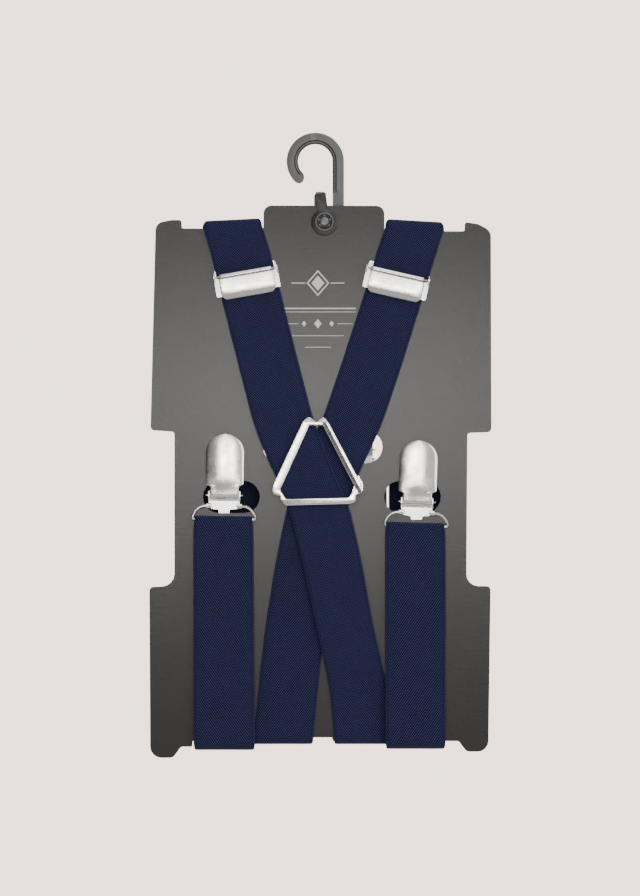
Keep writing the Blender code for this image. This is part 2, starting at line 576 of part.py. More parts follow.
def strap_stations(clip_top, clip_foot, back_foot, back_mid, back_top, top_z, front, foot_back, end_back, out_y):
    """The whole route of one strap, from its front clip to its back clip.
    Each argument holds edge positions; see STRAPS below."""
    s = []
    # doubled webbing down the front, from the clip's wire to the foot
    (l0, r0, z0), (l1, r1, z1) = clip_top, clip_foot
    s += run([(-3.2, l0, z0, r0, z0, 2), (-out_y, l0 * 0.9 + l1 * 0.1, z0 - 14, r0 * 0.9 + r1 * 0.1, z0 - 14, 2),
              (-out_y - 0.3, l1, z1, r1, z1, 2)], 30)
    # round the foot
    bl, br, bz = back_foot
    s += fold((l1, r1), (bl, br), -out_y - 0.3, out_y + 0.3, z1, z1, FOOT_TWO, 2)
    # up the back, out over the jaw of the front clip, to the top fold
    ml, mr = back_mid
    tl, tr = back_top
    zl, zr = top_z
    s += run([(out_y + 0.3, bl, bz, br, bz, 2), (5.4, ml, -230.0, mr, -230.0, 2), (5.4, ml, -168.0, mr, -168.0, 2),
              (3.3, tl, zl - 4.0, tr, zr - 4.0, 2)], 30)
    # over the top
    fl, fzl, fr, fzr = front[0][1:5]
    s += fold((tl, tr), (fl, fr), 3.3, -2.7, (zl - 4.0 + fzl) / 2, (zr - 4.0 + fzr) / 2, 3.6, 2)
    # down the front through the adjuster and the crossing
    s += run(front, 26)
    # round the foot again, now as one layer
    yb, fl, fzl, fr, fzr, _ = front[-1]
    gl, gr = foot_back
    s += fold((fl, fr), (gl, gr), yb, 1.3, fzl, fzr, FOOT_ONE, 1, 6)
    # up the back to the back clip's wire; the end is turned back and sewn
    el, er, ez = end_back
    s += run([(1.3, gl, fzl, gr, fzr, 1), (1.5, gl * 0.2 + el * 0.8, ez - 34, gr * 0.2 + er * 0.8, ez - 34, 1),
              (3.1, gl * 0.1 + el * 0.9, ez - 26, gr * 0.1 + er * 0.9, ez - 26, 2), (3.2, el, ez, er, ez, 2)], 26)
    return s


FOOT_TWO, FOOT_ONE = -5.0, -2.0     # how far each fold dips under the board


def build_straps():
    # left strap: front left clip, up the back, over the top left, down to the lower right
    down_a = [  # depth, left edge x, z, right edge x, z, layers
        (-2.7, -64.8, -48.7, -30.9, -46.9, 2), (-2.7, -59.5, -67.0, -25.9, -63.0, 2),
        (-2.5, -59.2, -68.2, -25.6, -64.2, 1), (-2.5, -54.0, -90.2, -19.6, -87.9, 1),
        (-2.5, -44.2, -129.0, -9.7, -126.8, 1), (-5.6, -37.0, -157.0, -2.4, -155.0, 1),
        (-5.8, -34.6, -165.0, 0.2, -164.0, 1), (-5.8, -28.1, -181.6, 7.4, -181.6, 1),
        (-5.8, -22.6, -192.5, 12.3, -194.4, 1), (-5.8, -14.9, -212.0, 20.0, -211.0, 1),
        (-4.7, -7.7, -240.7, 26.4, -239.7, 1), (-3.5, 0.2, -277.0, 33.0, -276.0, 1),
        (-2.8, 4.2, -296.0, 37.4, -295.0, 1), (-1.5, 8.6, -317.5, 42.0, -317.0, 1),
        (-1.3, 10.9, -344.6, 45.4, -344.6, 1)]
    a = strap_stations(
        clip_top=(-70.4, -35.9, -218.5), clip_foot=(-70.2, -34.9, -345.0),
        back_foot=(-70.2, -34.9, -345.0), back_mid=(-66.6, -31.7), back_top=(-65.3, -30.9),
        top_z=(-44.7, -43.5), front=down_a, foot_back=(11.0, 45.6), end_back=(6.6, 41.3, -192.1),
        out_y=4.35)
    ribbon("strap_left", a)
    # right strap: front right clip, up the back, over the top right, down to the lower left
    down_b = [
        (-2.7, 40.5, -48.1, 74.3, -50.1, 2), (-2.7, 34.6, -65.8, 68.3, -68.6, 2),
        (-2.5, 34.2, -67.2, 67.9, -70.0, 1), (-2.5, 27.3, -90.0, 61.0, -92.8, 1),
        (-2.5, 14.9, -128.0, 49.2, -130.5, 1), (-4.0, 7.1, -151.0, 41.3, -154.0, 1),
        (-4.4, 4.0, -160.0, 37.9, -163.6, 1), (-4.4, -4.2, -175.0, 30.0, -180.6, 1),
        (-4.4, -11.6, -191.0, 23.6, -193.6, 1), (-4.4, -16.3, -210.6, 18.6, -210.6, 1),
        (-2.9, -22.7, -240.7, 12.3, -240.7, 1), (-1.4, -28.4, -276.0, 6.6, -276.0, 1),
        (-1.3, -31.4, -300.0, 3.2, -300.0, 1), (-1.3, -35.6, -344.6, -1.2, -344.6, 1)]
    b = strap_stations(
        clip_top=(40.4, 75.2, -222.9), clip_foot=(40.6, 75.3, -344.4),
        back_foot=(40.6, 75.3, -344.4), back_mid=(42.6, 77.3), back_top=(40.7, 74.6),
        top_z=(-43.1, -44.7), front=down_b, foot_back=(-36.6, -2.0), end_back=(-30.3, 4.5, -192.1),
        out_y=4.35)
    ribbon("strap_right", b)


def main():
    clear_scene()
    build_card()
    build_hanger()
    build_snap()
    build_straps()
    for name, (x, z, turn, side) in CLIPS.items():
        build_clip(name, x, z, turn, side)
    for name, (x, z, turn) in ADJUSTERS.items():
        build_adjuster(name, x, z, turn)
    build_ring()


main()
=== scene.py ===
"""X-back elastic braces on their hanging card: the look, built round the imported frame."""
import math

import bmesh
import bpy
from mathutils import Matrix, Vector, noise
from mathutils.geometry import tessellate_polygon


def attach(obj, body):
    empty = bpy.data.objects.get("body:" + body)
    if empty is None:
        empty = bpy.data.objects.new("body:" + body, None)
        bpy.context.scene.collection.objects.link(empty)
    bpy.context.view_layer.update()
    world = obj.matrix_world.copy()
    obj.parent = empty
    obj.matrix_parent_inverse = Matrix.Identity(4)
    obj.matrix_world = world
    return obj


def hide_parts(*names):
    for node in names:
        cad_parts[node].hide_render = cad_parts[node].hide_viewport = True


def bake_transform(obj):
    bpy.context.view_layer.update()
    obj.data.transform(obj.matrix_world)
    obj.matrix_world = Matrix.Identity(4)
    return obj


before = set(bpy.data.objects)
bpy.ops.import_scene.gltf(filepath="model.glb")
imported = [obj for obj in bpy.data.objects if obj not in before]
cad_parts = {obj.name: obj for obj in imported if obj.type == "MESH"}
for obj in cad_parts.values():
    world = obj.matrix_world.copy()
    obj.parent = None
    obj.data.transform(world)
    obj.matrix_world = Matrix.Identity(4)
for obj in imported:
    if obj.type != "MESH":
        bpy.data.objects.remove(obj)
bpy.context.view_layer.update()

MM = 0.001
WEB = 1.2                                   # thickness of the webbing
BAR = (2.55, 1.42)                          # wire axis depth, radius of the webbing's turn round it


# ------------------------------------------------------------------ materials
class Mat:
    """A node material, with short names for the nodes it uses."""

    def __init__(self, name, rough=0.5, metal=0.0, spec=0.5):
        self.m = bpy.data.materials.new(name)
        self.m.use_nodes = True
        self.t = self.m.node_tree
        self.p = self.t.nodes["Principled BSDF"]
        self.p.inputs["Roughness"].default_value = rough
        self.p.inputs["Metallic"].default_value = metal
        self.p.inputs["Specular IOR Level"].default_value = spec

    def put(self, socket, value):
        if isinstance(value, bpy.types.NodeSocket):
            self.t.links.new(value, socket)
        else:
            socket.default_value = value

    def op(self, kind, a, b=None, c=None, clamp=False):
        n = self.t.nodes.new("ShaderNodeMath")
        n.operation = kind
        n.use_clamp = clamp
        for i, v in enumerate((a, b, c)):
            if v is not None:
                self.put(n.inputs[i], v)
        return n.outputs[0]

    def place(self):
        """Object coordinates in millimetres."""
        c = self.t.nodes.new("ShaderNodeTexCoord")
        s = self.t.nodes.new("ShaderNodeVectorMath")
        s.operation = "SCALE"
        s.inputs["Scale"].default_value = 1000.0
        self.t.links.new(c.outputs["Object"], s.inputs[0])
        return s.outputs[0]

    def attr(self, name):
        n = self.t.nodes.new("ShaderNodeAttribute")
        n.attribute_name = name
        return n.outputs["Vector"]

    def split(self, vec):
        n = self.t.nodes.new("ShaderNodeSeparateXYZ")
        self.t.links.new(vec, n.inputs[0])
        return n.outputs[0], n.outputs[1], n.outputs[2]

    def join(self, x, y, z):
        n = self.t.nodes.new("ShaderNodeCombineXYZ")
        for i, v in enumerate((x, y, z)):
            self.put(n.inputs[i], v)
        return n.outputs[0]

    def noise(self, vec, scale, detail=2.0, rough=0.5):
        n = self.t.nodes.new("ShaderNodeTexNoise")
        self.t.links.new(vec, n.inputs["Vector"])
        n.inputs["Scale"].default_value = scale
        n.inputs["Detail"].default_value = detail
        n.inputs["Roughness"].default_value = rough
        return n.outputs[0]

    def span(self, v, a, b, lo=0.0, hi=1.0):
        n = self.t.nodes.new("ShaderNodeMapRange")
        n.clamp = True
        for i, x in enumerate((v, a, b, lo, hi)):
            self.put(n.inputs[i], x)
        return n.outputs[0]

    def mix(self, f, a, b):
        n = self.t.nodes.new("ShaderNodeMix")
        n.data_type = "RGBA"
        self.put(n.inputs[0], f)
        self.put(n.inputs[6], (*a, 1.0) if isinstance(a, tuple) else a)
        self.put(n.inputs[7], (*b, 1.0) if isinstance(b, tuple) else b)
        return n.outputs[2]

    def bump(self, height, depth, strength=1.0, after=None):
        n = self.t.nodes.new("ShaderNodeBump")
        n.inputs["Distance"].default_value = depth * MM
        n.inputs["Strength"].default_value = strength
        self.t.links.new(height, n.inputs["Height"])
        if after is not None:
            self.t.links.new(after, n.inputs["Normal"])
        return n.outputs[0]

    def done(self, color=None, rough=None, normal=None):
        if color is not None:
            self.put(self.p.inputs["Base Color"], color)
        if rough is not None:
            self.put(self.p.inputs["Roughness"], rough)
        if normal is not None:
            self.put(self.p.inputs["Normal"], normal)
        return self.m


def webbing(name, tone):
    """Twill elastic: steep diagonal ribs built from short picks, with a plain
    beaded selvedge. The weave attribute holds u across, s along, in mm, and
    the half width."""
    k = Mat(name, 0.8, 0.0, 0.10)
    u, s, half = k.split(k.attr("weave"))

    def tint(*c):
        return tuple(x * tone for x in c)
    ang = math.radians(55)
    q = k.op("SUBTRACT", k.op("MULTIPLY", u, math.sin(ang)), k.op("MULTIPLY", s, math.cos(ang)))
    t = k.op("ADD", k.op("MULTIPLY", u, math.cos(ang)), k.op("MULTIPLY", s, math.sin(ang)))
    vec = k.join(u, s, 0.0)
    wob = k.noise(vec, 0.35, 2.0)
    q = k.op("ADD", q, k.op("MULTIPLY", wob, 0.5))
    qn = k.op("DIVIDE", q, 1.16)
    rib = k.op("MULTIPLY_ADD", k.op("SINE", k.op("MULTIPLY", qn, 2 * math.pi)), 0.5, 0.5)
    row = k.op("MULTIPLY", k.op("FLOOR", k.op("ADD", qn, 0.25)), 0.37)
    pick = k.op("MULTIPLY_ADD", k.op("SINE", k.op("MULTIPLY", k.op("ADD", k.op("DIVIDE", t, 1.05), row),
                                                  2 * math.pi)), 0.5, 0.5)
    au = k.op("ABSOLUTE", u)
    inset = k.op("SUBTRACT", half, au)
    edge = k.span(inset, 1.15, 0.95)
    groove = k.op("MULTIPLY", k.span(inset, 1.7, 1.35), k.span(inset, 0.9, 1.1))
    tick = k.op("MULTIPLY_ADD", k.op("SINE", k.op("MULTIPLY", s, 2 * math.pi / 0.85)), 0.5, 0.5)
    glint = k.op("MULTIPLY", k.op("POWER", rib, 2.4), k.op("MULTIPLY_ADD", pick, 0.7, 0.3))
    cloud = k.noise(vec, 0.055, 3.0)
    fuzz = k.noise(vec, 3.2, 2.0, 0.65)
    lum = k.op("MULTIPLY", glint, k.span(fuzz, 0.3, 0.75, 0.35, 1.25))
    body = k.mix(lum, tint(0.0012, 0.0012, 0.0085), tint(0.074, 0.086, 0.250))
    side = k.mix(tick, tint(0.0060, 0.0060, 0.0260), tint(0.025, 0.026, 0.086))
    col = k.mix(edge, body, side)
    # painted shade: the groove beside the selvedge is darkened in colour only, with no relief of its own
    col = k.mix(k.op("MULTIPLY", groove, 0.55), col, tint(0.0022, 0.0026, 0.0110))
    col = k.mix(k.span(cloud, 0.35, 0.7, 0.0, 0.18), col, tint(0.018, 0.022, 0.064))
    height = k.op("ADD", k.op("MULTIPLY", k.op("MULTIPLY_ADD", pick, 0.35, rib), k.op("SUBTRACT", 1.0, edge)),
                  k.op("MULTIPLY", tick, k.op("MULTIPLY", edge, 0.5)))
    n1 = k.bump(height, 0.22, 1.0)
    n2 = k.bump(fuzz, 0.06, 0.6, n1)
    k.p.inputs["Sheen Weight"].default_value = 0.10 * tone
    k.p.inputs["Sheen Roughness"].default_value = 0.45
    k.p.inputs["Sheen Tint"].default_value = (0.62, 0.70, 1.0, 1.0)
    return k.done(col, k.span(glint, 0.0, 1.0, 0.86, 0.58), n2)


def thread():
    k = Mat("navy_thread", 0.6, 0.0, 0.4)
    v = k.place()
    x, y, z = k.split(v)
    ply = k.op("SINE", k.op("MULTIPLY", k.op("ADD", x, z), 14.0))
    return k.done(k.mix(k.op("MULTIPLY_ADD", ply, 0.5, 0.5), (0.016, 0.018, 0.06), (0.060, 0.070, 0.17)),
                  None, k.bump(ply, 0.05))


def board():
    """Satin black board: fibrous grey-brown cut edges, faint mottling and
    scuffs, and a plain printed ornament of rules and diamonds."""
    k = Mat("black_board_laminate", 0.4, 0.0, 0.5)
    v = k.place()
    x, y, z = k.split(v)
    g = k.t.nodes.new("ShaderNodeNewGeometry")
    nx, ny, nz = k.split(g.outputs["True Normal"])
    edge = k.span(k.op("ABSOLUTE", ny), 0.8, 0.6)
    fine = k.noise(v, 1.6, 4.0, 0.6)
    broad = k.noise(v, 0.02, 3.0, 0.5)
    grain = k.noise(k.join(k.op("MULTIPLY", x, 0.2), y, z), 0.9, 3.0)
    col = k.mix(fine, (0.0094, 0.0079, 0.0072), (0.0146, 0.0124, 0.0114))
    col = k.mix(k.span(broad, 0.35, 0.7, 0.0, 0.5), col, (0.0165, 0.0150, 0.0142))
    scuff = k.op("MULTIPLY", k.span(k.noise(v, 0.45, 5.0, 0.75), 0.66, 0.74), 0.35)
    col = k.mix(scuff, col, (0.045, 0.042, 0.040))
    ply = k.op("MULTIPLY_ADD", k.op("SINE", k.op("MULTIPLY", y, 18.0)), 0.5, 0.5)
    cut = k.mix(k.op("MULTIPLY", ply, fine), (0.042, 0.020, 0.017), (0.105, 0.062, 0.052))
    col = k.mix(edge, col, cut)
    # printed ornament on the front face
    front = k.span(ny, -0.8, -0.9)

    def bar(cx, cz, w, h):
        a = k.span(k.op("ABSOLUTE", k.op("SUBTRACT", x, cx)), w / 2 + 0.05, w / 2 - 0.05)
        b = k.span(k.op("ABSOLUTE", k.op("SUBTRACT", z, cz)), h / 2 + 0.05, h / 2 - 0.05)
        return k.op("MULTIPLY", a, b)

    def diamond(cx, cz, w, h, rim=None):
        d = k.op("ADD", k.op("DIVIDE", k.op("ABSOLUTE", k.op("SUBTRACT", x, cx)), w / 2),
                 k.op("DIVIDE", k.op("ABSOLUTE", k.op("SUBTRACT", z, cz)), h / 2))
        a = k.span(d, 1.03, 0.97)
        return a if rim is None else k.op("MULTIPLY", a, k.span(d, rim - 0.03, rim + 0.03))

    marks = [diamond(1.5, -80.5, 13.0, 15.0, 0.86), diamond(1.5, -80.5, 7.5, 8.7),
             bar(-9.8, -80.5, 8.0, 0.5), bar(12.8, -80.5, 8.0, 0.5),
             bar(1.5, -95.2, 44.0, 0.7), bar(1.5, -97.2, 44.0, 0.3),
             diamond(-6.5, -104.0, 2.6, 3.4), diamond(1.5, -104.0, 4.2, 5.4), diamond(9.5, -104.0, 2.6, 3.4),
             bar(-14.2, -104.0, 9.0, 0.35), bar(17.2, -104.0, 9.0, 0.35),
             bar(1.5, -111.0, 30.0, 0.3), bar(1.5, -117.6, 15.0, 0.3)]
    ink = marks[0]
    for mk in marks[1:]:
        ink = k.op("MAXIMUM", ink, mk)
    ink = k.op("MULTIPLY", k.op("MULTIPLY", ink, front), k.span(fine, 0.25, 0.45, 0.75, 1.0))
    col = k.mix(ink, col, (0.62, 0.61, 0.59))
    rough = k.span(fine, 0.2, 0.8, 0.26, 0.33)
    rough = k.op("ADD", rough, k.op("MULTIPLY", edge, 0.35))
    n1 = k.bump(grain, 0.05, 0.5)
    n2 = k.bump(fine, 0.03, 0.5, n1)
    return k.done(col, rough, n2)


def plastic(name, dark, light, rough, fleck=0.04, spec=0.5):
    """Moulded plastic: fine eggshell texture, cloudy colour and rubbed edges."""
    k = Mat(name, rough, 0.0, spec)
    v = k.place()
    shell = k.noise(v, 2.6, 3.0, 0.6)
    cloud = k.noise(v, 0.12, 3.0)
    g = k.t.nodes.new("ShaderNodeNewGeometry")
    rub = k.span(g.outputs["Pointiness"], 0.52, 0.62)
    col = k.mix(k.op("MULTIPLY_ADD", shell, 0.5, k.op("MULTIPLY", cloud, 0.5)), dark, light)
    col = k.mix(k.op("MULTIPLY", rub, 0.45), col, tuple(min(1.0, 1.8 * c + 0.03) for c in light))
    scr = k.span(k.noise(k.join(k.op("MULTIPLY", k.split(v)[0], 0.15), k.split(v)[1], k.split(v)[2]), 3.0, 3.0),
                 0.62, 0.7)
    return k.done(col, k.op("ADD", k.span(cloud, 0.3, 0.7, rough - 0.05, rough + 0.06),
                            k.op("MULTIPLY", scr, 0.08)), k.bump(shell, fleck, 0.7))


def nickel(name, base=(0.80, 0.79, 0.77), rough=0.2, speck=0.3, paint_shade=None):
    """Bright plate over stamped steel: fine pitting, dark specks, hazy wipe
    marks and dull edges. The optional last argument, a function of (k, x,
    z), gives where the plate is painted dark as shade, with coarse grit."""
    k = Mat(name, rough, 1.0)
    v = k.place()
    x, y, z = k.split(v)
    pit = k.noise(v, 1.9, 3.0, 0.7)
    speckle = k.span(k.noise(v, 3.6, 2.0, 0.8), 0.58, 0.68)
    haze = k.noise(v, 0.18, 3.0)
    wipe = k.noise(k.join(x, y, k.op("MULTIPLY", z, 0.12)), 1.4, 2.0)
    col = k.mix(k.op("MULTIPLY", speckle, speck), base, (0.22, 0.21, 0.20))
    col = k.mix(k.span(haze, 0.3, 0.7, 0.0, 0.3), col, tuple(c * 0.82 for c in base))
    r = k.op("ADD", k.span(haze, 0.3, 0.7, rough - 0.05, rough + 0.08), k.op("MULTIPLY", speckle, 0.15))
    n1 = k.bump(pit, 0.03, 0.35)
    n2 = k.bump(wipe, 0.015, 0.4, n1)
    # painted shade: the mask darkens the plate and lays coarse grit on it
    if paint_shade is not None:
        shade_mask = paint_shade(k, x, z)
        grit = k.span(k.noise(v, 2.3, 4.0, 0.85), 0.46, 0.60)
        col = k.mix(shade_mask, col, k.mix(grit, (0.045, 0.044, 0.042), (0.50, 0.49, 0.47)))
        n2 = k.bump(k.op("MULTIPLY", grit, shade_mask), 0.16, 1.0, n2)
        r = k.op("ADD", r, k.op("MULTIPLY", shade_mask, 0.12))
    return k.done(col, r, n2)


def ring_shade_paint(k, x, z):
    """The inner part of the right bar's face, where the plate is painted dark as shade."""
    off = k.op("SUBTRACT", k.op("SUBTRACT", x, 4.4), k.op("MULTIPLY", k.op("SUBTRACT", -162.8, z), 0.5164))
    a = k.op("MULTIPLY", k.span(off, 0.25, 0.5), k.span(off, 2.75, 2.4))
    return k.op("MULTIPLY", a, k.op("MULTIPLY", k.span(z, -160.5, -161.5), k.span(z, -203.0, -201.5)))


def grip():
    k = Mat("milky_grip", 0.42, 0.0, 0.5)
    v = k.place()
    n = k.noise(v, 0.8, 4.0)
    k.p.inputs["Subsurface Weight"].default_value = 0.15
    k.p.inputs["Subsurface Scale"].default_value = 0.001
    return k.done(k.mix(n, (0.46, 0.46, 0.43), (0.66, 0.66, 0.62)), k.span(n, 0.3, 0.7, 0.36, 0.5), k.bump(n, 0.06))


WEBBING = webbing("navy_twill_elastic", 1.03)
# painted shade: the same twill at under half the brightness, for the inner layers that lie in shade
WEBBING_PAINTED_SHADE = webbing("navy_twill_painted_shade", 0.46)
THREAD = thread()
BOARD = board()
HOOK = plastic("charcoal_hook", (0.074, 0.074, 0.074), (0.112, 0.112, 0.112), 0.42)
# painted shade: near-black plastic in the hook bar's grooves, standing in for their shade
HOOK_GROOVE_SHADE = plastic("charcoal_hook_groove_painted_shade", (0.010, 0.010, 0.011), (0.020, 0.020, 0.021), 0.5)
SNAP = plastic("black_snap", (0.012, 0.012, 0.012), (0.026, 0.026, 0.026), 0.34)
# a lighter grey copy of the snap plastic, for the raised ring, the prongs and the hinge web
SNAP_RING = plastic("snap_ring_lighter_grey", (0.060, 0.060, 0.061), (0.105, 0.105, 0.107), 0.36)
# painted shade: a blacker copy of the snap plastic for the deep seat round the stud
SNAP_SEAT_SHADE = plastic("snap_seat_painted_shade", (0.003, 0.003, 0.003), (0.007, 0.007, 0.007), 0.5)
STUD = plastic("grey_stud", (0.085, 0.086, 0.088), (0.150, 0.152, 0.156), 0.28)
NICKEL = nickel("bright_nickel")
# a darker nickel with more specks; its darkness is painted shade, for the cover's lower bevel and the cam under the
# cover
NICKEL_SPECKLED_SHADE = nickel("speckled_nickel_painted_shade", (0.58, 0.57, 0.55), 0.27, 0.7)
# painted shade: the inner part of the right bar's face is painted dark
NICKEL_RING = nickel("ring_nickel", paint_shade=ring_shade_paint)
# painted shade: a darker grey nickel for the back clips' bases, which lie in shade behind the board
NICKEL_BACK_CLIP_SHADE = nickel("grey_nickel_painted_shade", (0.34, 0.335, 0.325), 0.33, 0.8)
# painted shade: near-black nickel for the groove between the cover's roll and its face
NICKEL_GROOVE_SHADE = nickel("nickel_groove_painted_shade", (0.16, 0.158, 0.152), 0.36, 0.9)
STEEL = nickel("drawn_pin", (0.60, 0.60, 0.60), 0.25, 0.2)
GRIP = grip()


# -------------------------------------------------------------- mesh helpers
def piece(name, verts, faces, mats, body, attr=None, smooth=True, sharp=38, pick=None):
    """A mesh object from points in millimetres, riding on a body, or on none
    until it is blended."""
    me = bpy.data.meshes.new(name)
    me.from_pydata([Vector(v) * MM for v in verts], [], faces)
    if attr is not None:
        a = me.attributes.new("weave", "FLOAT_VECTOR", "POINT")
        a.data.foreach_set("vector", [c for p in attr for c in p])
    for m in mats if isinstance(mats, (list, tuple)) else [mats]:
        me.materials.append(m)
    if pick is not None:
        for poly in me.polygons:
            poly.material_index = pick(poly.center / MM, poly.normal)
    bm = bmesh.new()
    bm.from_mesh(me)
    bmesh.ops.recalc_face_normals(bm, faces=bm.faces)
    bm.to_mesh(me)
    bm.free()
    if smooth:
        me.shade_smooth()
        me.set_sharp_from_angle(angle=math.radians(sharp))
    ob = bpy.data.objects.new(name, me)
    bpy.context.collection.objects.link(ob)
    if body is not None:
        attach(ob, body)
    return ob


def loft(rings, caps=True):
    """Faces through closed rings of equal length."""
    n = len(rings[0])
    verts = [p for r in rings for p in r]
    faces = []
    for i in range(len(rings) - 1):
        for k in range(n):
            a, b = i * n + k, i * n + (k + 1) % n
            faces.append((a, b, b + n, a + n))
    if caps:
        faces.append(tuple(reversed(range(n))))
        faces.append(tuple((len(rings) - 1) * n + k for k in range(n)))
    return verts, faces


def rounded(outline, per_corner=6):
    out = []
    n = len(outline)
    for i, (x, z, r) in enumerate(outline):
        p = Vector((x, z))
        a = Vector(outline[i - 1][:2]) - p
        b = Vector(outline[(i + 1) % n][:2]) - p
        la, lb = a.length, b.length
        a.normalize()
        b.normalize()
        half = a.angle(b) / 2
        cut = min(r / math.tan(half), 0.49 * la, 0.49 * lb)
        r = cut * math.tan(half)
        c = p + (a + b).normalized() * (r / math.sin(half))
        s, e = p + a * cut - c, p + b * cut - c
        turn = s.angle_signed(e)
        steps = per_corner if r > 0.8 else 3
        for k in range(steps + 1):
            w = -turn * k / steps
            out.append((c.x + s.x * math.cos(w) - s.y * math.sin(w), c.y + s.x * math.sin(w) + s.y * math.cos(w)))
    return out


def inset(loop, d):
    """A closed loop moved inwards by d, for a bevel."""
    area = sum(a[0] * b[1] - b[0] * a[1] for a, b in zip(loop, loop[1:] + loop[:1]))
    sg = 1 if area > 0 else -1
    out = []
    n = len(loop)
    for i in range(n):
        a, p, b = Vector(loop[i - 1]), Vector(loop[i]), Vector(loop[(i + 1) % n])
        u, v = p - a, b - p
        if u.length < 1e-6:
            u = v
        if v.length < 1e-6:
            v = u
        u.normalize()
        v.normalize()
        nu, nv = Vector((-u.y, u.x)) * sg, Vector((-v.y, v.x)) * sg
        m = nu + nv
        m = m / max(0.35, m.length_squared / 2)
        out.append((p.x + m.x * d, p.y + m.y * d))
    return out


def bevelled(outer, hole, lo, hi, bev, to3d, steps=3):
    """A flat plate with rounded edges. lo is the face that looks out."""
    def skin(loop, sign):
        rows = []
        for k in range(steps + 1):
            a = math.pi / 2 * k / steps
            rows.append((inset(loop, sign * bev * (1 - math.sin(a))), lo + (bev * (1 - math.cos(a))) * (1 if hi > lo else -1)))
        for k in range(steps + 1):
            a = math.pi / 2 * (1 - k / steps)
            rows.append((inset(loop, sign * bev * (1 - math.sin(a))), hi - (bev * (1 - math.cos(a))) * (1 if hi > lo else -1)))
        return rows
    verts, faces, caps = [], [], [[], []]
    loops = [(outer, 1)] + ([(hole, -1)] if hole else [])
    for loop, sign in loops:
        rows = skin(loop, sign)
        base = len(verts)
        n = len(loop)
        for pts, d in rows:
            verts += [to3d(x, z, d) for x, z in pts]
        for i in range(len(rows) - 1):
            for k in range(n):
                a, b = base + i * n + k, base + i * n + (k + 1) % n
                faces.append((a, b, b + n, a + n))
        caps[0].append((rows[0][0], base))
        caps[1].append((rows[-1][0], base + (len(rows) - 1) * n))
    for side in caps:
        flat = [[Vector((x, z, 0)) for x, z in lp] for lp, _ in side]
        ids = [b + i for lp, b in side for i in range(len(lp))]
        for t in tessellate_polygon(flat):
            faces.append(tuple(ids[i] for i in t))
    return verts, faces


def placer(x, z, turn, side, y_pin):
    c, s = math.cos(math.radians(turn)), math.sin(math.radians(turn))

    def place(u, v, w):
        u2 = u * side
        return (x + u2 * c - v * s, y_pin - side * w, z + u2 * s + v * c)
    return place


def plane(x, z, y):
    return (x, y, z)


def through(points, per):
    """Catmull-Rom through tuples, per steps a segment."""
    out = []
    n = len(points)
    for i in range(n - 1):
        p0, p1, p2, p3 = points[max(i - 1, 0)], points[i], points[i + 1], points[min(i + 2, n - 1)]
        for k in range(per):
            t = k / per
            out.append(tuple(0.5 * (2 * b + (c - a) * t + (2 * a - 5 * b + 4 * c - d) * t * t
                                    + (3 * b - 3 * c + d - a) * t ** 3)
                             for a, b, c, d in zip(p0, p1, p2, p3)))
    out.append(tuple(points[-1]))
    return out


def sheet_metal(rows, cols, thick, place, edge=0.0):
    """A bent sheet from (v, w, half width, crown), the edges rolled by edge."""
    rings = []
    for i, (v, w, hw, crown) in enumerate(rows):
        p0, p1 = rows[max(i - 1, 0)], rows[min(i + 1, len(rows) - 1)]
        tv, tw = p1[0] - p0[0], p1[1] - p0[1]
        ln = math.hypot(tv, tw) or 1.0
        nv, nw = -tw / ln, tv / ln
        front, back = [], []
        for j in range(cols):
            t = math.sin((-1 + 2 * j / (cols - 1)) * math.pi / 2)
            drop = crown * t * t + edge * max(0.0, abs(t) - 0.86) ** 2 / 0.0196
            front.append(place(t * hw, v + nv * thick / 2, w + nw * thick / 2 - drop))
            back.append(place(t * hw, v - nv * thick / 2, w - nw * thick / 2 - drop))
        rings.append(front + list(reversed(back)))
    return loft(rings)


def lathe(profile, cx, cz, n=48):
    """Rings round the Y axis at (cx, cz); profile is (radius, y)."""
    return [[(cx + r * math.cos(2 * math.pi * k / n), y, cz + r * math.sin(2 * math.pi * k / n))
             for k in range(n)] for r, y in profile]


# ------------------------------------------------------------------- webbing
TS = [-1, -0.988, -0.962, -0.93, -0.9, -0.7, -0.45, -0.2, 0, 0.2, 0.45, 0.7, 0.9, 0.93, 0.962, 0.988, 1]
HS = [0.26, 0.5, 0.6, 0.55, 0.6, 0.6, 0.6, 0.6, 0.6, 0.6, 0.6, 0.6, 0.6, 0.55, 0.6, 0.5, 0.26]


def band(name, path, body, s0=0.0, mirror=1, wave=0.1, mat=None):
    """One layer of webbing along (left, right) points at its middle."""
    rings, attr = [], []
    s = s0
    n = len(path)
    prev = None
    for i, (L, R) in enumerate(path):
        L, R = Vector(L), Vector(R)
        mid = (L + R) / 2
        if prev is not None:
            s += (mid - prev).length
        prev = mid
        a, b = path[max(i - 1, 0)], path[min(i + 1, n - 1)]
        t = ((Vector(b[0]) + Vector(b[1])) - (Vector(a[0]) + Vector(a[1]))).normalized()
        across = (R - L)
        half = across.length / 2
        across.normalize()
        nrm = t.cross(across).normalized()
        wl = wave * noise.noise(Vector((s * 0.09, 3.1, s0)))
        wr = wave * noise.noise(Vector((s * 0.09, 7.7, s0)))
        top, low, ta, la = [], [], [], []
        for q, h in zip(TS, HS):
            u = q * half + (wl * (1 - q) / 2 + wr * (1 + q) / 2)
            p = mid + across * u
            dz = 0.035 * noise.noise(Vector((u * 0.12, s * 0.06, 1.7 + s0)))
            top.append(tuple(p + nrm * (h - 0.02 + dz)))
            low.append(tuple(p - nrm * (h - 0.02 - dz)))
            ta.append((u * mirror, s, half))
        rings.append(top + list(reversed(low)))
        attr += ta + list(reversed(ta))
    v, f = loft(rings)
    return piece(name, v, f, mat or WEBBING, body, attr=attr, sharp=60), s - s0


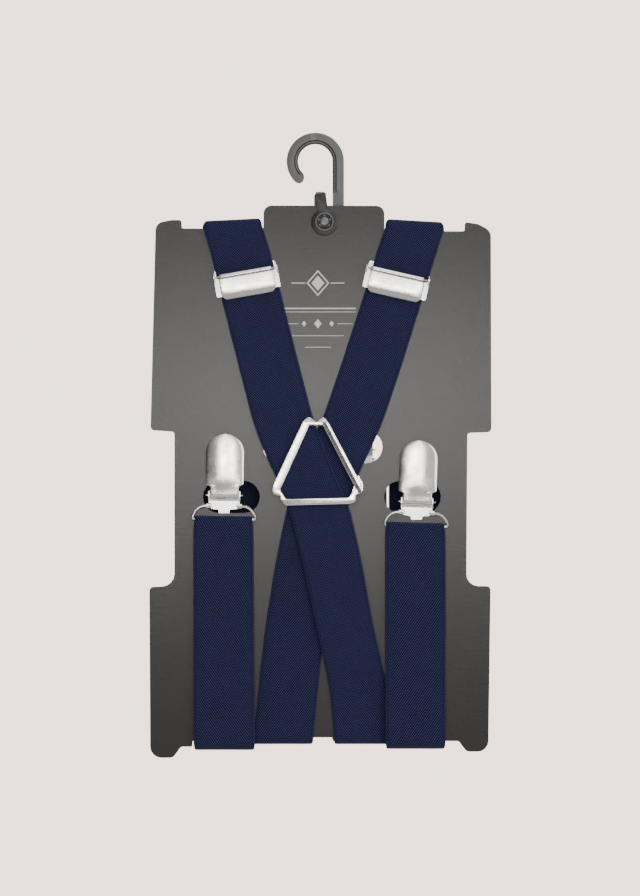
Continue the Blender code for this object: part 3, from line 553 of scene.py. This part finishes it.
def run(points, step):
    out = []
    for a, b in zip(points, points[1:]):
        ln = math.dist((a[0], (a[1] + a[3]) / 2, (a[2] + a[4]) / 2), (b[0], (b[1] + b[3]) / 2, (b[2] + b[4]) / 2))
        m = max(1, round(ln / step))
        for k in range(m):
            q = k / m
            p = [a[i] + (b[i] - a[i]) * q for i in range(5)]
            out.append([Vector((p[1], p[0], p[2])), Vector((p[3], p[0], p[4])), a[5], False])
    p = points[-1]
    out.append([Vector((p[1], p[0], p[2])), Vector((p[3], p[0], p[4])), p[5], False])
    return out


def fold(x0, x1, y0, y1, zL, zR, rise, layers, steps, pinch):
    """Half an ellipse over or under the board; pinch draws the edges in, as a
    folded strap's corners do."""
    out = []
    for k in range(1, steps):
        q = math.pi * k / steps
        y = (y0 + y1) / 2 + (y0 - y1) / 2 * math.cos(q)
        h = rise * math.sin(q)
        m = (1 - math.cos(q)) / 2
        lx = x0[0] + (x1[0] - x0[0]) * m + pinch * math.sin(q) ** 3
        rx = x0[1] + (x1[1] - x0[1]) * m - pinch * math.sin(q) ** 3
        out.append([Vector((lx, y, zL + h)), Vector((rx, y, zR + h)), layers, True])
    return out


def soften(path, rounds=10):
    """Eases the corners of the straight stretches; folds keep their shape."""
    for _ in range(rounds):
        new = []
        for i, p in enumerate(path):
            if 0 < i < len(path) - 1 and not (p[3] or path[i - 1][3] or path[i + 1][3]):
                a, b = path[i - 1], path[i + 1]
                new.append([(a[0] + p[0] * 2 + b[0]) / 4, (a[1] + p[1] * 2 + b[1]) / 4, p[2], False])
            else:
                new.append(p)
        path = new
    return path


def route(clip_top, clip_foot, back_mid, back_top, top_z, front, foot_back, end_back, out_y=4.35):
    """The strap's outer layer from under the front wire to under the back wire."""
    (l0, r0, z0), (l1, r1, z1) = clip_top, clip_foot
    s = run([(-3.62, l0, z0 - 5.5, r0, z0 - 5.5, 2),
             (-out_y, l0 * 0.9 + l1 * 0.1, z0 - 14, r0 * 0.9 + r1 * 0.1, z0 - 14, 2),
             (-out_y - 0.3, l1, z1, r1, z1, 2)], 3.0)
    s += fold((l1, r1), (l1, r1), -out_y - 0.3, out_y + 0.3, z1, z1, -5.0, 2, 18, 0.7)
    ml, mr = back_mid
    tl, tr = back_top
    zl, zr = top_z
    s += run([(out_y + 0.3, l1, z1, r1, z1, 2), (5.4, ml, -230.0, mr, -230.0, 2), (5.4, ml, -168.0, mr, -168.0, 2),
              (3.3, tl, zl - 4.0, tr, zr - 4.0, 2)], 3.0)
    fl, fzl, fr, fzr = front[0][1:5]
    s += fold((tl, tr), (fl, fr), 3.3, -2.7, (zl - 4.0 + fzl) / 2, (zr - 4.0 + fzr) / 2, 3.6, 2, 16, 1.5)
    s += run(front, 2.5)
    yb, fl, fzl, fr, fzr, _ = front[-1]
    gl, gr = foot_back
    s += fold((fl, fr), (gl, gr), yb, 1.3, fzl, fzr, -2.0, 1, 12, 0.5)
    el, er, ez = end_back
    s += run([(1.3, gl, fzl, gr, fzr, 1), (1.5, gl * 0.2 + el * 0.8, ez - 34, gr * 0.2 + er * 0.8, ez - 34, 1),
              (3.1, gl * 0.1 + el * 0.9, ez - 26, gr * 0.1 + er * 0.9, ez - 26, 2),
              (3.15, el, ez - 6.4, er, ez - 6.4, 2)], 3.0)
    return soften(s)


def inner_of(path, keep):
    """The layer under the outer one, where keep(i) is true."""
    out = []
    n = len(path)
    for i, (L, R, layers, _) in enumerate(path):
        if not keep(i):
            continue
        a, b = path[max(i - 1, 0)], path[min(i + 1, n - 1)]
        t = ((b[0] + b[1]) - (a[0] + a[1])).normalized()
        nrm = t.cross(R - L).normalized()
        out.append((L - nrm * (WEB + 0.1), R - nrm * (WEB + 0.1)))
    return out


def wire_loop(name, side, L, R, z_end, y_out, y_in, clip, s_end, mirror, tail):
    """The webbing's turn round a clip's wire. L and R are its edges where it
    meets the strap at z_end, y_out and y_in the depths of its two layers
    there, and tail how far the inner layer runs on, sewn down."""
    x, z, turn = clip
    c, sn = math.cos(math.radians(turn)), math.sin(math.radians(turn))
    cx, cz = x + 13.95 * sn, z - 13.95 * c
    yc, r = BAR
    down = cz - z_end
    trim = 0.5 if side > 0 else 1.1
    prof = [(y_out, -down, 0.0)]
    for q, e in ((0.75, 0.1), (0.5, 0.3), (0.25, 0.75)):
        prof.append((y_out + (yc + r - y_out) * (1 - q) ** 0.8, -down * q, e))
    for a in range(-20, 201, 20):
        prof.append((yc + r * math.cos(math.radians(a)), r * math.sin(math.radians(a)), 1.0))
    for q, e in ((0.25, 0.75), (0.5, 0.3), (0.75, 0.1), (1.0, 0.0)):
        prof.append((y_in + (yc - r - y_in) * (1 - q) ** 0.8, -down * q, e))
    if tail:
        prof += [(y_in, -down - tail * k / 6, 0.0) for k in range(1, 7)]
    path = []
    for y, h, e in prof:
        l, rr = L + trim * e, R - trim * e
        zl = cz + h + (l - cx) * math.tan(math.radians(turn)) * e
        zr = cz + h + (rr - cx) * math.tan(math.radians(turn)) * e
        path.append((Vector((l, -side * y, zl)), Vector((rr, -side * y, zr))))
    if side > 0:
        path.reverse()
    length = sum(((a[0] + a[1]) / 2 - (b[0] + b[1]) / 2).length for a, b in zip(path, path[1:]))
    ob, ln = band(name, path, None, s_end - (length if side > 0 else 0.0), mirror, 0.0)
    return ob, ln


def stitches(name, spots, body, along=(1, 0, 0), out=(0, 1, 0), length=2.2, w=0.42):
    """Raised thread stitches, each a plump grain lying along one direction."""
    verts, faces = [], []
    ax, up = Vector(along).normalized(), Vector(out).normalized()
    sd = ax.cross(up)
    for p in spots:
        p = Vector(p)
        base = len(verts)
        rings = []
        for q in (-1.0, -0.8, -0.4, 0.0, 0.4, 0.8, 1.0):
            rr = w / 2 * math.sqrt(max(0.05, 1 - q * q * 0.96))
            rings.append([tuple(p + ax * (q * length / 2) + sd * (rr * math.cos(a)) + up * (rr * 0.7 * math.sin(a)))
                          for a in (2 * math.pi * k / 8 for k in range(8))])
        v, f = loft(rings)
        verts += v
        faces += [tuple(i + base for i in g) for g in f]
    return piece(name, verts, faces, THREAD, body)


def build_strap(side, spec, mirror, adj, clip_f, clip_b):
    path = route(**spec)
    node = "strap_" + side
    outer, ln = band(node + "_outer", [(p[0], p[1]) for p in path], "card", 0.0, mirror)
    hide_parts(node)
    pieces = [(outer, ln)]
    # where the front run begins: after the top fold
    n = len(path)
    peak = max(range(n), key=lambda i: path[i][0].z + path[i][1].z)
    turn_end = next(i for i in range(peak, n) if not path[i][3])
    # the inner layer takes the darkened twill as painted shade
    inner, ln = band(node + "_inner", inner_of(path, lambda i: i <= turn_end + 1), "card", 0.0, -mirror, 0.1, WEBBING_PAINTED_SHADE)
    pieces.append((inner, ln))
    # the last stretch of the inner layer, sewn to the adjuster
    top_of_frame = adj[1] + 10.9
    last = next(i for i in range(turn_end, n) if (path[i][0].z + path[i][1].z) / 2 < top_of_frame)
    tail, ln = band(node + "_inner_end", inner_of(path, lambda i: turn_end + 1 <= i <= last), None, 400.0, -mirror, 0.0)
    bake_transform(tail)
    pieces.append((tail, ln))
    # turns round the clip wires
    L, R = path[0][0], path[0][1]
    lf, ln = wire_loop(node + "_front_loop", 1, L.x, R.x, L.z, -L.y, -L.y - 1.3, clip_f, 0.0, mirror, 0.0)
    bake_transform(lf)
    pieces.append((lf, ln))
    L, R = path[-1][0], path[-1][1]
    s_end = pieces[0][1]
    lb, ln = wire_loop(node + "_back_loop", -1, L.x, R.x, L.z, L.y, L.y - 1.3, clip_b, s_end, mirror, 18.0)
    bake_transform(lb)
    pieces.append((lb, ln))
    # two rows of stitching across the sewn end at the back
    cx = (L.x + R.x) / 2
    zb = L.z
    spots = [(cx + (k - 5) * 3.0, 3.72, zb - 13.0) for k in range(11)]
    spots += [(cx + (k - 5) * 3.0, 3.72, zb - 9.6) for k in range(11)]
    st = stitches(node + "_back_stitching", spots, "card")
    return path


ADJ = {"left": (-39.3, -80.4, 9.8), "right": (46.6, -81.3, -12.8)}
CLIPS = {"front_left": (-52.6, -203.2, -0.8, 1), "front_right": (58.8, -207.0, -2.0, 1),
         "back_left": (-12.9, -177.0, 0.0, -1), "back_right": (24.0, -177.0, 0.0, -1)}

DOWN_A = [
    (-2.7, -64.8, -48.7, -30.9, -46.9, 2), (-2.7, -59.5, -67.0, -25.9, -63.0, 2),
    (-2.5, -59.2, -68.2, -25.6, -64.2, 1), (-2.5, -54.0, -90.2, -19.6, -87.9, 1),
    (-2.5, -44.2, -129.0, -9.7, -126.8, 1), (-5.6, -37.0, -157.0, -2.4, -155.0, 1),
    (-5.8, -34.6, -165.0, 0.2, -164.0, 1), (-5.8, -28.1, -181.6, 7.4, -181.6, 1),
    (-5.8, -22.6, -192.5, 12.3, -194.4, 1), (-5.8, -14.9, -212.0, 20.0, -211.0, 1),
    (-4.7, -7.7, -240.7, 26.4, -239.7, 1), (-3.5, 0.2, -277.0, 33.0, -276.0, 1),
    (-2.8, 4.2, -296.0, 37.4, -295.0, 1), (-1.5, 8.6, -317.5, 42.0, -317.0, 1),
    (-1.3, 10.9, -344.6, 45.4, -344.6, 1)]
DOWN_B = [
    (-2.7, 40.5, -48.1, 74.3, -50.1, 2), (-2.7, 34.6, -65.8, 68.3, -68.6, 2),
    (-2.5, 34.2, -67.2, 67.9, -70.0, 1), (-2.5, 27.3, -90.0, 61.0, -92.8, 1),
    (-2.5, 14.9, -128.0, 49.2, -130.5, 1), (-4.0, 7.1, -151.0, 41.3, -154.0, 1),
    (-4.4, 4.0, -160.0, 37.9, -163.6, 1), (-4.4, -4.2, -175.0, 30.0, -180.6, 1),
    (-4.4, -11.6, -191.0, 23.6, -193.6, 1), (-4.4, -16.3, -210.6, 18.6, -210.6, 1),
    (-2.9, -22.7, -240.7, 12.3, -240.7, 1), (-1.4, -28.4, -276.0, 6.6, -276.0, 1),
    (-1.3, -31.4, -300.0, 3.2, -300.0, 1), (-1.3, -35.6, -344.6, -1.2, -344.6, 1)]

build_strap("left", dict(
    clip_top=(-70.4, -35.9, -218.5), clip_foot=(-70.2, -34.9, -345.0), back_mid=(-66.6, -31.7),
    back_top=(-65.3, -30.9), top_z=(-44.7, -43.5), front=DOWN_A, foot_back=(11.0, 45.6),
    end_back=(6.6, 41.3, -192.1)), 1, ADJ["left"], CLIPS["front_left"][:3], CLIPS["back_right"][:3])
build_strap("right", dict(
    clip_top=(40.4, 75.2, -222.9), clip_foot=(40.6, 75.3, -344.4), back_mid=(42.6, 77.3),
    back_top=(40.7, 74.6), top_z=(-43.1, -44.7), front=DOWN_B, foot_back=(-36.6, -2.0),
    end_back=(-30.3, 4.5, -192.1)), -1, ADJ["right"], CLIPS["front_right"][:3], CLIPS["back_left"][:3])


# --------------------------------------------------------------------- clips
def build_clip(name, x, z, turn, side):
    place = placer(x, z, turn, side, -side * 2.2)
    r = 1.075
    lw, nk = 10.95, 8.25
    roll = []
    for k in range(19):
        q = math.radians(-285 + 285 * k / 18)
        roll.append((r * math.sin(q), r * math.cos(q), 8.3 if k < 16 else 8.1, 0.0))
    blade = through([(0.9, r, 8.2, 0.0), (1.6, r + 0.03, nk, 0.0), (3.2, 1.2, nk, 0.05), (4.5, 1.34, nk, 0.15),
                     (5.3, 1.45, nk + 0.35, 0.3), (5.8, 1.52, nk + 1.2, 0.5), (6.3, 1.6, lw - 0.4, 0.8), (7.2, 1.7, lw, 1.0),
                     (9.0, 1.82, lw, 1.2), (12.0, 1.88, lw, 1.4), (16.0, 1.9, lw, 1.5), (20.5, 1.83, lw, 1.5),
                     (24.5, 1.72, lw, 1.5)], 3)
    v0, top = 24.5, 35.3
    for k in range(1, 15):
        a = math.pi / 2 * k / 14
        v = v0 + (top - v0) * math.sin(a)
        hw = max(0.5, lw * math.cos(a) ** 0.93)
        w = 1.72 - 0.44 * math.sin(a) ** 2
        blade.append((v, w, hw, 1.5 * math.cos(a) ** 1.5))
    v, f = sheet_metal(roll[:-1] + blade, 21, 0.55, place, 0.25)
    lid = piece(f"lid_{name}_blade", v, f, NICKEL, f"lid_{name}", sharp=42)
    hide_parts(f"clip_lid_{name}")


for key, (x, z, turn, side) in CLIPS.items():
    build_clip(key, x, z, turn, side)


# ----------------------------------------------------------------- adjusters
def build_cover(side):
    x, z, turn = ADJ[side]
    place = placer(x, z, turn, 1, 0.0)
    hb, hw_, r = 5.9, 4.9, 1.2
    rows = []
    for k in range(17):
        q = math.radians(-250 + 250 * k / 16)
        rows.append((hb - r * math.sin(q), hw_ + r * math.cos(q), 15.0, 0.0))
    rows += [(hb - 0.4, hw_ + r, 15.3, 0.0), (hb - 0.55, hw_ + r - 0.02, 15.7, 0.0), (hb - 0.65, hw_ + r - 0.3, 15.9, 0.0),
             (hb - 1.5, hw_ + r - 0.33, 16.0, 0.0), (hb - 1.62, hw_ + r - 0.05, 16.0, 0.0),
             (2.4, hw_ + r - 0.05, 16.0, 0.03), (-1.0, hw_ + r - 0.1, 16.0, 0.08),
             (-4.3, hw_ + r - 0.2, 16.0, 0.1), (-4.7, hw_ + r - 0.3, 15.9, 0.1), (-5.2, hw_ + r - 0.55, 15.7, 0.1),
             (-6.2, hw_ + r - 1.1, 14.9, 0.1), (-7.1, hw_ + r - 1.75, 13.8, 0.1), (-7.4, hw_ + r - 2.1, 13.5, 0.1)]
    v, f = sheet_metal(list(reversed(rows)), 17, 0.8, place, 0.2)

    # the groove behind the roll takes the near-black nickel as painted shade
    def tone(c, n):
        dx, dz = c.x - x, c.z - z
        a = math.radians(turn)
        b = -dx * math.sin(a) + dz * math.cos(a)
        # below the face the lower bevel takes the darker nickel as painted shade
        return 2 if 4.3 < b < 5.35 else 1 if b < -5.0 else 0
    cover = piece(f"cover_{side}_plate", v, f, [NICKEL, NICKEL_SPECKLED_SHADE, NICKEL_GROOVE_SHADE], f"cover_{side}", sharp=30, pick=tone)
    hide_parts(f"adjuster_cover_{side}")
    # the cam under the cover, its foot cut into teeth
    rings = []
    n = 58
    for k in range(n + 1):
        a = -14.6 + 29.2 * k / n
        d = 0.0 if k % 2 else 0.35
        rings.append([place(a, 3.6, 5.8), place(a, 3.3, 3.5 + d), place(a, 2.7, 3.4 + d), place(a, 2.0, 4.4), place(a, 1.9, 5.8)])
    v, f = loft(rings)
    # painted shade: the cam under the cover takes the darker nickel
    piece(f"cover_{side}_cam", v, f, NICKEL_SPECKLED_SHADE, f"cover_{side}", sharp=25)


for key in ADJ:
    build_cover(key)


# ---------------------------------------------------------------------- ring
RING_OUTER = [
    (-3.9, -157.4, 2.4), (0.5, -161.0, 0.8), (4.9, -157.4, 2.4), (7.6, -161.2, 2.0),
    (26.4, -196.5, 2.0), (27.2, -201.6, 3.0), (23.6, -203.0, 0.5), (23.2, -206.9, 1.6),
    (19.9, -208.2, 1.2), (-17.2, -209.1, 1.6), (-20.1, -205.6, 1.0), (-20.2, -203.6, 0.4),
    (-25.0, -202.6, 3.0), (-24.6, -197.6, 2.4), (-7.3, -160.6, 2.0)]
RING_INNER = [
    (-3.3, -162.8, 0.8), (4.4, -162.8, 0.8), (23.3, -199.4, 1.4), (19.0, -204.4, 1.2),
    (-16.9, -205.3, 1.2), (-20.4, -200.4, 1.4)]


def build_ring():
    v, f = bevelled(rounded(RING_OUTER), rounded(RING_INNER), -8.2, -6.7, 0.32, plane)

    ob = piece("ring_front_plate", v, f, NICKEL_RING, "card", sharp=30)
    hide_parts("ring_front")


build_ring()


# -------------------------------------------------------------------- hanger
def build_hanger():
    """The J bar: a raised outer flange and a sunk inner band that ends in a
    round at the foot of the arc; tip rounded."""
    cz = -10.0
    stations = []                                       # (centre point, radial direction, half width, recess)
    end = 224.0
    mid, rt = 13.3, 3.3
    for k in range(7, 0, -1):
        a = math.pi / 2 * k / 7
        ang = math.radians(end) + rt * math.sin(a) / mid
        stations.append((Vector((mid * math.cos(ang), cz + mid * math.sin(ang))),
                         Vector((math.cos(ang), math.sin(ang))), rt * max(0.12, math.cos(a)), 0.0))
    for k in range(57):
        ang = math.radians(end - 4 * k)
        stations.append((Vector((mid * math.cos(ang), cz + mid * math.sin(ang))),
                         Vector((math.cos(ang), math.sin(ang))), rt, min(1.0, max(0.0, (k - 1) / 2))))
    for zz, rec in ((-12, 1), (-16, 1), (-20, 1), (-24, 1), (-26.4, 1), (-27.3, 0.9), (-27.8, 0.5), (-28.2, 0.0),
                    (-34, 0), (-42, 0), (-48, 0), (-51.5, 0)):
        stations.append((Vector((mid, zz)), Vector((1, 0)), rt, rec))
    rings = []
    for c, d, hw, rec in stations:
        y0 = 0.8
        g = hw / rt
        sec = [(-3.1, 3.4), (-3.3, 3.2), (-3.3, y0 + 0.15 + 1.05 * rec), (-3.15, y0 + 1.0 * rec), (-2.45, y0 + 0.95 * rec),
               (-2.4, y0 + 0.4 * rec), (-2.25, y0 + 0.3 * rec), (-1.75, y0 + 0.3 * rec), (-1.62, y0 + 0.4 * rec),
               (-1.56, y0 + 1.0 * rec), (-1.16, y0 + 1.0 * rec), (-1.08, y0 + 0.16 * rec), (-0.9, y0), (2.95, y0),
               (3.2, y0 + 0.12), (3.3, y0 + 0.4), (3.3, 3.1), (3.0, 3.4)]
        sec = [(q * g, y) for q, y in sec]
        rings.append([(c.x + d.x * q, y, c.y + d.y * q) for q, y in sec])
    v, f = loft(rings)

    # the bar's grooves take the near-black plastic as painted shade
    def tone(c, n):
        rad = math.hypot(c.x, c.z + 10.0) if c.z > -10.0 or c.x < 0 else c.x
        if c.z < -28.2 or c.y > 2.5:
            return 0
        return 1 if rad < 10.92 or (11.5 < rad < 12.27 and c.y > 1.05) else 0
    bar = piece("hook_bar", v, f, [HOOK, HOOK_GROOVE_SHADE], "card", sharp=35, pick=tone)
    # the pad behind the board, with a rim
    pad = rounded([(10.2, -37.0, 0.6), (10.2, -38.5, 0.6), (5.9, -38.5, 0.6), (5.9, -29.4, 0.6), (-0.7, -29.4, 0.6),
                   (-0.7, -38.5, 0.8), (-3.0, -41.0, 1.2), (-3.0, -55.0, 2.0), (14.2, -55.0, 2.0), (16.5, -52.0, 1.6),
                   (16.5, -37.0, 0.3)])
    v, f = bevelled(pad, None, 1.0, 3.38, 0.35, plane)
    plate = piece("hook_pad", v, f, HOOK, "card", sharp=35)
    prof = [(0.05, -3.1), (1.2, -3.1), (1.9, -3.05), (2.3, -2.85), (2.5, -2.45), (2.5, 1.4), (0.05, 1.4)]
    v, f = loft(lathe(prof, 5.3, -44.9, 36))
    stud = piece("hook_stud", v, f, STUD, "card", sharp=40)
    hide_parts("hanger_hook")
    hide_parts("hanger_hook")
    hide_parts("hanger_hook")


build_hanger()


def build_snap():
    cx, cz = 5.35, -45.5
    # cap: outer skirt, a raised ring, and the deep seat round the stud
    prof = [(3.72, -0.92), (3.72, -2.1), (3.95, -2.45), (4.35, -2.5), (4.62, -2.96), (4.95, -3.0), (5.25, -2.95),
            (5.45, -2.62), (5.8, -2.5), (6.9, -2.42), (7.4, -2.2), (7.68, -1.85), (7.7, -1.1), (7.5, -0.92)]
    n = 56
    rings = []
    for r, y in prof:
        t = (r - 3.72) / (7.7 - 3.72)
        ox, oz = 5.3 + (cx - 5.3) * t, -44.9 + (cz + 44.9) * t
        rings.append([(ox + r * math.cos(2 * math.pi * k / n), y, oz + r * math.sin(2 * math.pi * k / n)) for k in range(n)])
    v, f = loft(rings + [rings[0]], caps=False)

    # inside the raised ring the cap takes the blacker plastic as painted shade
    def tone(c, nr):
        d = math.hypot(c.x - 5.33, c.z + 45.1)
        return 1 if 4.5 < d < 5.3 and c.y < -2.7 else 2 if d < 4.5 else 0
    me_v = v[:-n]
    m = len(me_v)
    f = [tuple(i if i < m else i - m for i in g) for g in f]
    cap = piece("snap_cap", me_v, f, [SNAP, SNAP_RING, SNAP_SEAT_SHADE], "snap", sharp=35, pick=tone)
    # the seat round the stud, with its spring prongs
    seat = [(2.95, -1.7), (3.95, -1.75), (3.95, -1.3), (2.95, -1.3)]
    rings = lathe(seat, 5.3, -44.9, 40)
    v, f = loft(rings + [rings[0]], caps=False)
    me_v = v[:-40]
    f = [tuple(i if i < len(me_v) else i - len(me_v) for i in g) for g in f]
    # painted shade: the seat is made blacker than the cap
    seat_ob = piece("snap_seat", me_v, f, SNAP_SEAT_SHADE, "snap", sharp=35)
    verts, faces = [], []
    for deg in (18, 90, 162, 218, 322):
        a = math.radians(deg)
        d, t = Vector((math.cos(a), 0, math.sin(a))), Vector((-math.sin(a), 0, math.cos(a)))
        c = Vector((5.3, 0, -44.9))
        rings = []
        for rr, w, y in ((2.85, 0.28, -1.95), (3.1, 0.42, -2.25), (3.7, 0.6, -2.3), (3.9, 0.62, -2.1)):
            rings.append([tuple(c + d * rr + t * w + Vector((0, y, 0))), tuple(c + d * rr - t * w + Vector((0, y, 0))),
                          tuple(c + d * rr - t * w + Vector((0, -1.6, 0))), tuple(c + d * rr + t * w + Vector((0, -1.6, 0)))])
        v, f = loft(rings)
        faces += [tuple(i + len(verts) for i in g) for g in f]
        verts += v
    prongs = piece("snap_prongs", verts, faces, SNAP_RING, "snap", sharp=30)
    # tab with a waist, ending at the living hinge on the board's top edge
    tab = rounded([(-0.4, -28.9, 0.5), (6.0, -28.2, 0.5), (7.2, -37.0, 1.5), (8.4, -39.8, 0.4), (2.2, -39.8, 0.4),
                   (1.2, -37.6, 1.5)])
    v, f = bevelled(tab, None, -2.15, -1.0, 0.22, plane)
    t = piece("snap_tab", v, f, SNAP, "snap", sharp=35)
    # the living hinge: a thin web from the tab over to the hook's foot
    rows = through([(-0.5, -29.6, -1.35), (-0.2, -28.5, -1.3), (0.4, -28.0, -0.6), (0.9, -27.85, 0.4), (1.2, -28.2, 1.5), (1.3, -29.2, 2.0)], 4)
    rings = []
    for i, (_, zz, yy) in enumerate(rows):
        a, b = rows[max(i - 1, 0)], rows[min(i + 1, len(rows) - 1)]
        tz, ty = b[1] - a[1], b[2] - a[2]
        ln = math.hypot(tz, ty) or 1.0
        nz, ny = -ty / ln * 0.22, tz / ln * 0.22
        rings.append([(0.2, yy + ny, zz + nz), (5.3, yy + ny, zz + nz), (5.3, yy - ny, zz - nz), (0.2, yy - ny, zz - nz)])
    v, f = loft(rings)
    web = piece("snap_web", v, f, SNAP_RING, None, sharp=50)
    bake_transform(web)
    for ob in (cap, t, seat_ob, prongs):
        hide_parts("snap_strap")


build_snap()

# ------------------------------------------------------- carried-over CAD nodes
LOOKS = {"display_card": BOARD, "ring_rear": NICKEL}
for key in CLIPS:
    # the back clips' bases take the darker nickel as painted shade
    LOOKS[f"clip_base_{key}"] = NICKEL if key.startswith("front") else NICKEL_BACK_CLIP_SHADE
    LOOKS[f"clip_wire_{key}"] = NICKEL
    LOOKS[f"clip_pin_{key}"] = STEEL
    LOOKS[f"clip_pad_{key}"] = GRIP
for key in ADJ:
    LOOKS[f"adjuster_frame_{key}"] = NICKEL
    LOOKS[f"adjuster_pin_{key}"] = STEEL
for node, mat in LOOKS.items():
    ob = bpy.data.objects[node]
    if not ob.material_slots:
        ob.data.materials.append(mat)
    for sl in ob.material_slots:
        sl.material = mat


# --------------------------------------------------------------- floor, light
def floor():
    me = bpy.data.meshes.new("studio_floor")
    n = 64
    v = [(2.2 * math.cos(2 * math.pi * k / n), 2.2 * math.sin(2 * math.pi * k / n), -0.75) for k in range(n)]
    me.from_pydata(v, [], [tuple(range(n))])
    k = Mat("pale_floor", 0.8, 0.0, 0.2)
    nz = k.noise(k.place(), 0.01, 2.0)
    me.materials.append(k.done(k.mix(nz, (0.66, 0.64, 0.62), (0.70, 0.68, 0.66))))
    ob = bpy.data.objects.new("studio_floor", me)
    bpy.context.collection.objects.link(ob)


floor()


def area(name, loc, aim, size, size_y, power, color=(1, 1, 1)):
    d = bpy.data.lights.new(name, "AREA")
    d.shape = "RECTANGLE"
    d.size, d.size_y = size, size_y
    d.energy = power
    d.color = color
    ob = bpy.data.objects.new(name, d)
    ob.location = loc
    ob.rotation_euler = (Vector(aim) - Vector(loc)).to_track_quat("-Z", "Y").to_euler()
    ob.visible_camera = False
    bpy.context.collection.objects.link(ob)


area("front_soft", (0.0, -0.9, -0.145), (0, 0, -0.14), 0.42, 0.12, 2.0, (1.0, 0.965, 0.94))
area("side_soft", (1.2, -1.0, 0.0), (0, 0, -0.17), 0.5, 1.4, 6.6, (1.0, 0.985, 0.97))
area("key_soft", (0.2, -1.0, 1.1), (0, 0, -0.17), 0.9, 0.9, 7.6, (1.0, 0.985, 0.97))
area("back_soft", (0.2, 1.6, 0.7), (0, 0, -0.17), 1.2, 1.0, 20.0)

world = bpy.data.worlds.new("studio")
bpy.context.scene.world = world
world.use_nodes = True
wt = world.node_tree
wt.nodes.clear()
out = wt.nodes.new("ShaderNodeOutputWorld")
seen = wt.nodes.new("ShaderNodeBackground")
seen.inputs[0].default_value = (1.0, 0.806, 0.692, 1.0)
seen.inputs[1].default_value = 3.25
lit = wt.nodes.new("ShaderNodeBackground")
co = wt.nodes.new("ShaderNodeTexCoord")
sep = wt.nodes.new("ShaderNodeSeparateXYZ")
wt.links.new(co.outputs["Generated"], sep.inputs[0])


def wmath(kind, a, b):
    n = wt.nodes.new("ShaderNodeMath")
    n.operation = kind
    for i, v in enumerate((a, b)):
        if isinstance(v, bpy.types.NodeSocket):
            wt.links.new(v, n.inputs[i])
        else:
            n.inputs[i].default_value = v
    return n.outputs[0]


glow = wmath("ADD", 0.45, wmath("MULTIPLY", sep.outputs[0], 0.55))
glow = wmath("ADD", glow, wmath("MULTIPLY", sep.outputs[2], 0.35))
glow = wmath("MAXIMUM", glow, 0.06)
wt.links.new(glow, lit.inputs[1])
lit.inputs[0].default_value = (1.0, 0.985, 0.97, 1.0)
path = wt.nodes.new("ShaderNodeLightPath")
mixer = wt.nodes.new("ShaderNodeMixShader")
wt.links.new(path.outputs["Is Camera Ray"], mixer.inputs[0])
wt.links.new(lit.outputs[0], mixer.inputs[1])
wt.links.new(seen.outputs[0], mixer.inputs[2])
wt.links.new(mixer.outputs[0], out.inputs[0])

# --------------------------------------------------------------------- camera
cam = bpy.data.cameras.new("camera")
cam.sensor_width = 36.0
cam.lens = 36.0 * 2.6 / 0.5183
cam.clip_start, cam.clip_end = 0.05, 50.0
cam_ob = bpy.data.objects.new("camera", cam)
cam_ob.location = (0.00272, -2.6, -0.1759)
cam_ob.rotation_euler = (math.radians(90), 0, 0)
bpy.context.collection.objects.link(cam_ob)
bpy.context.scene.camera = cam_ob
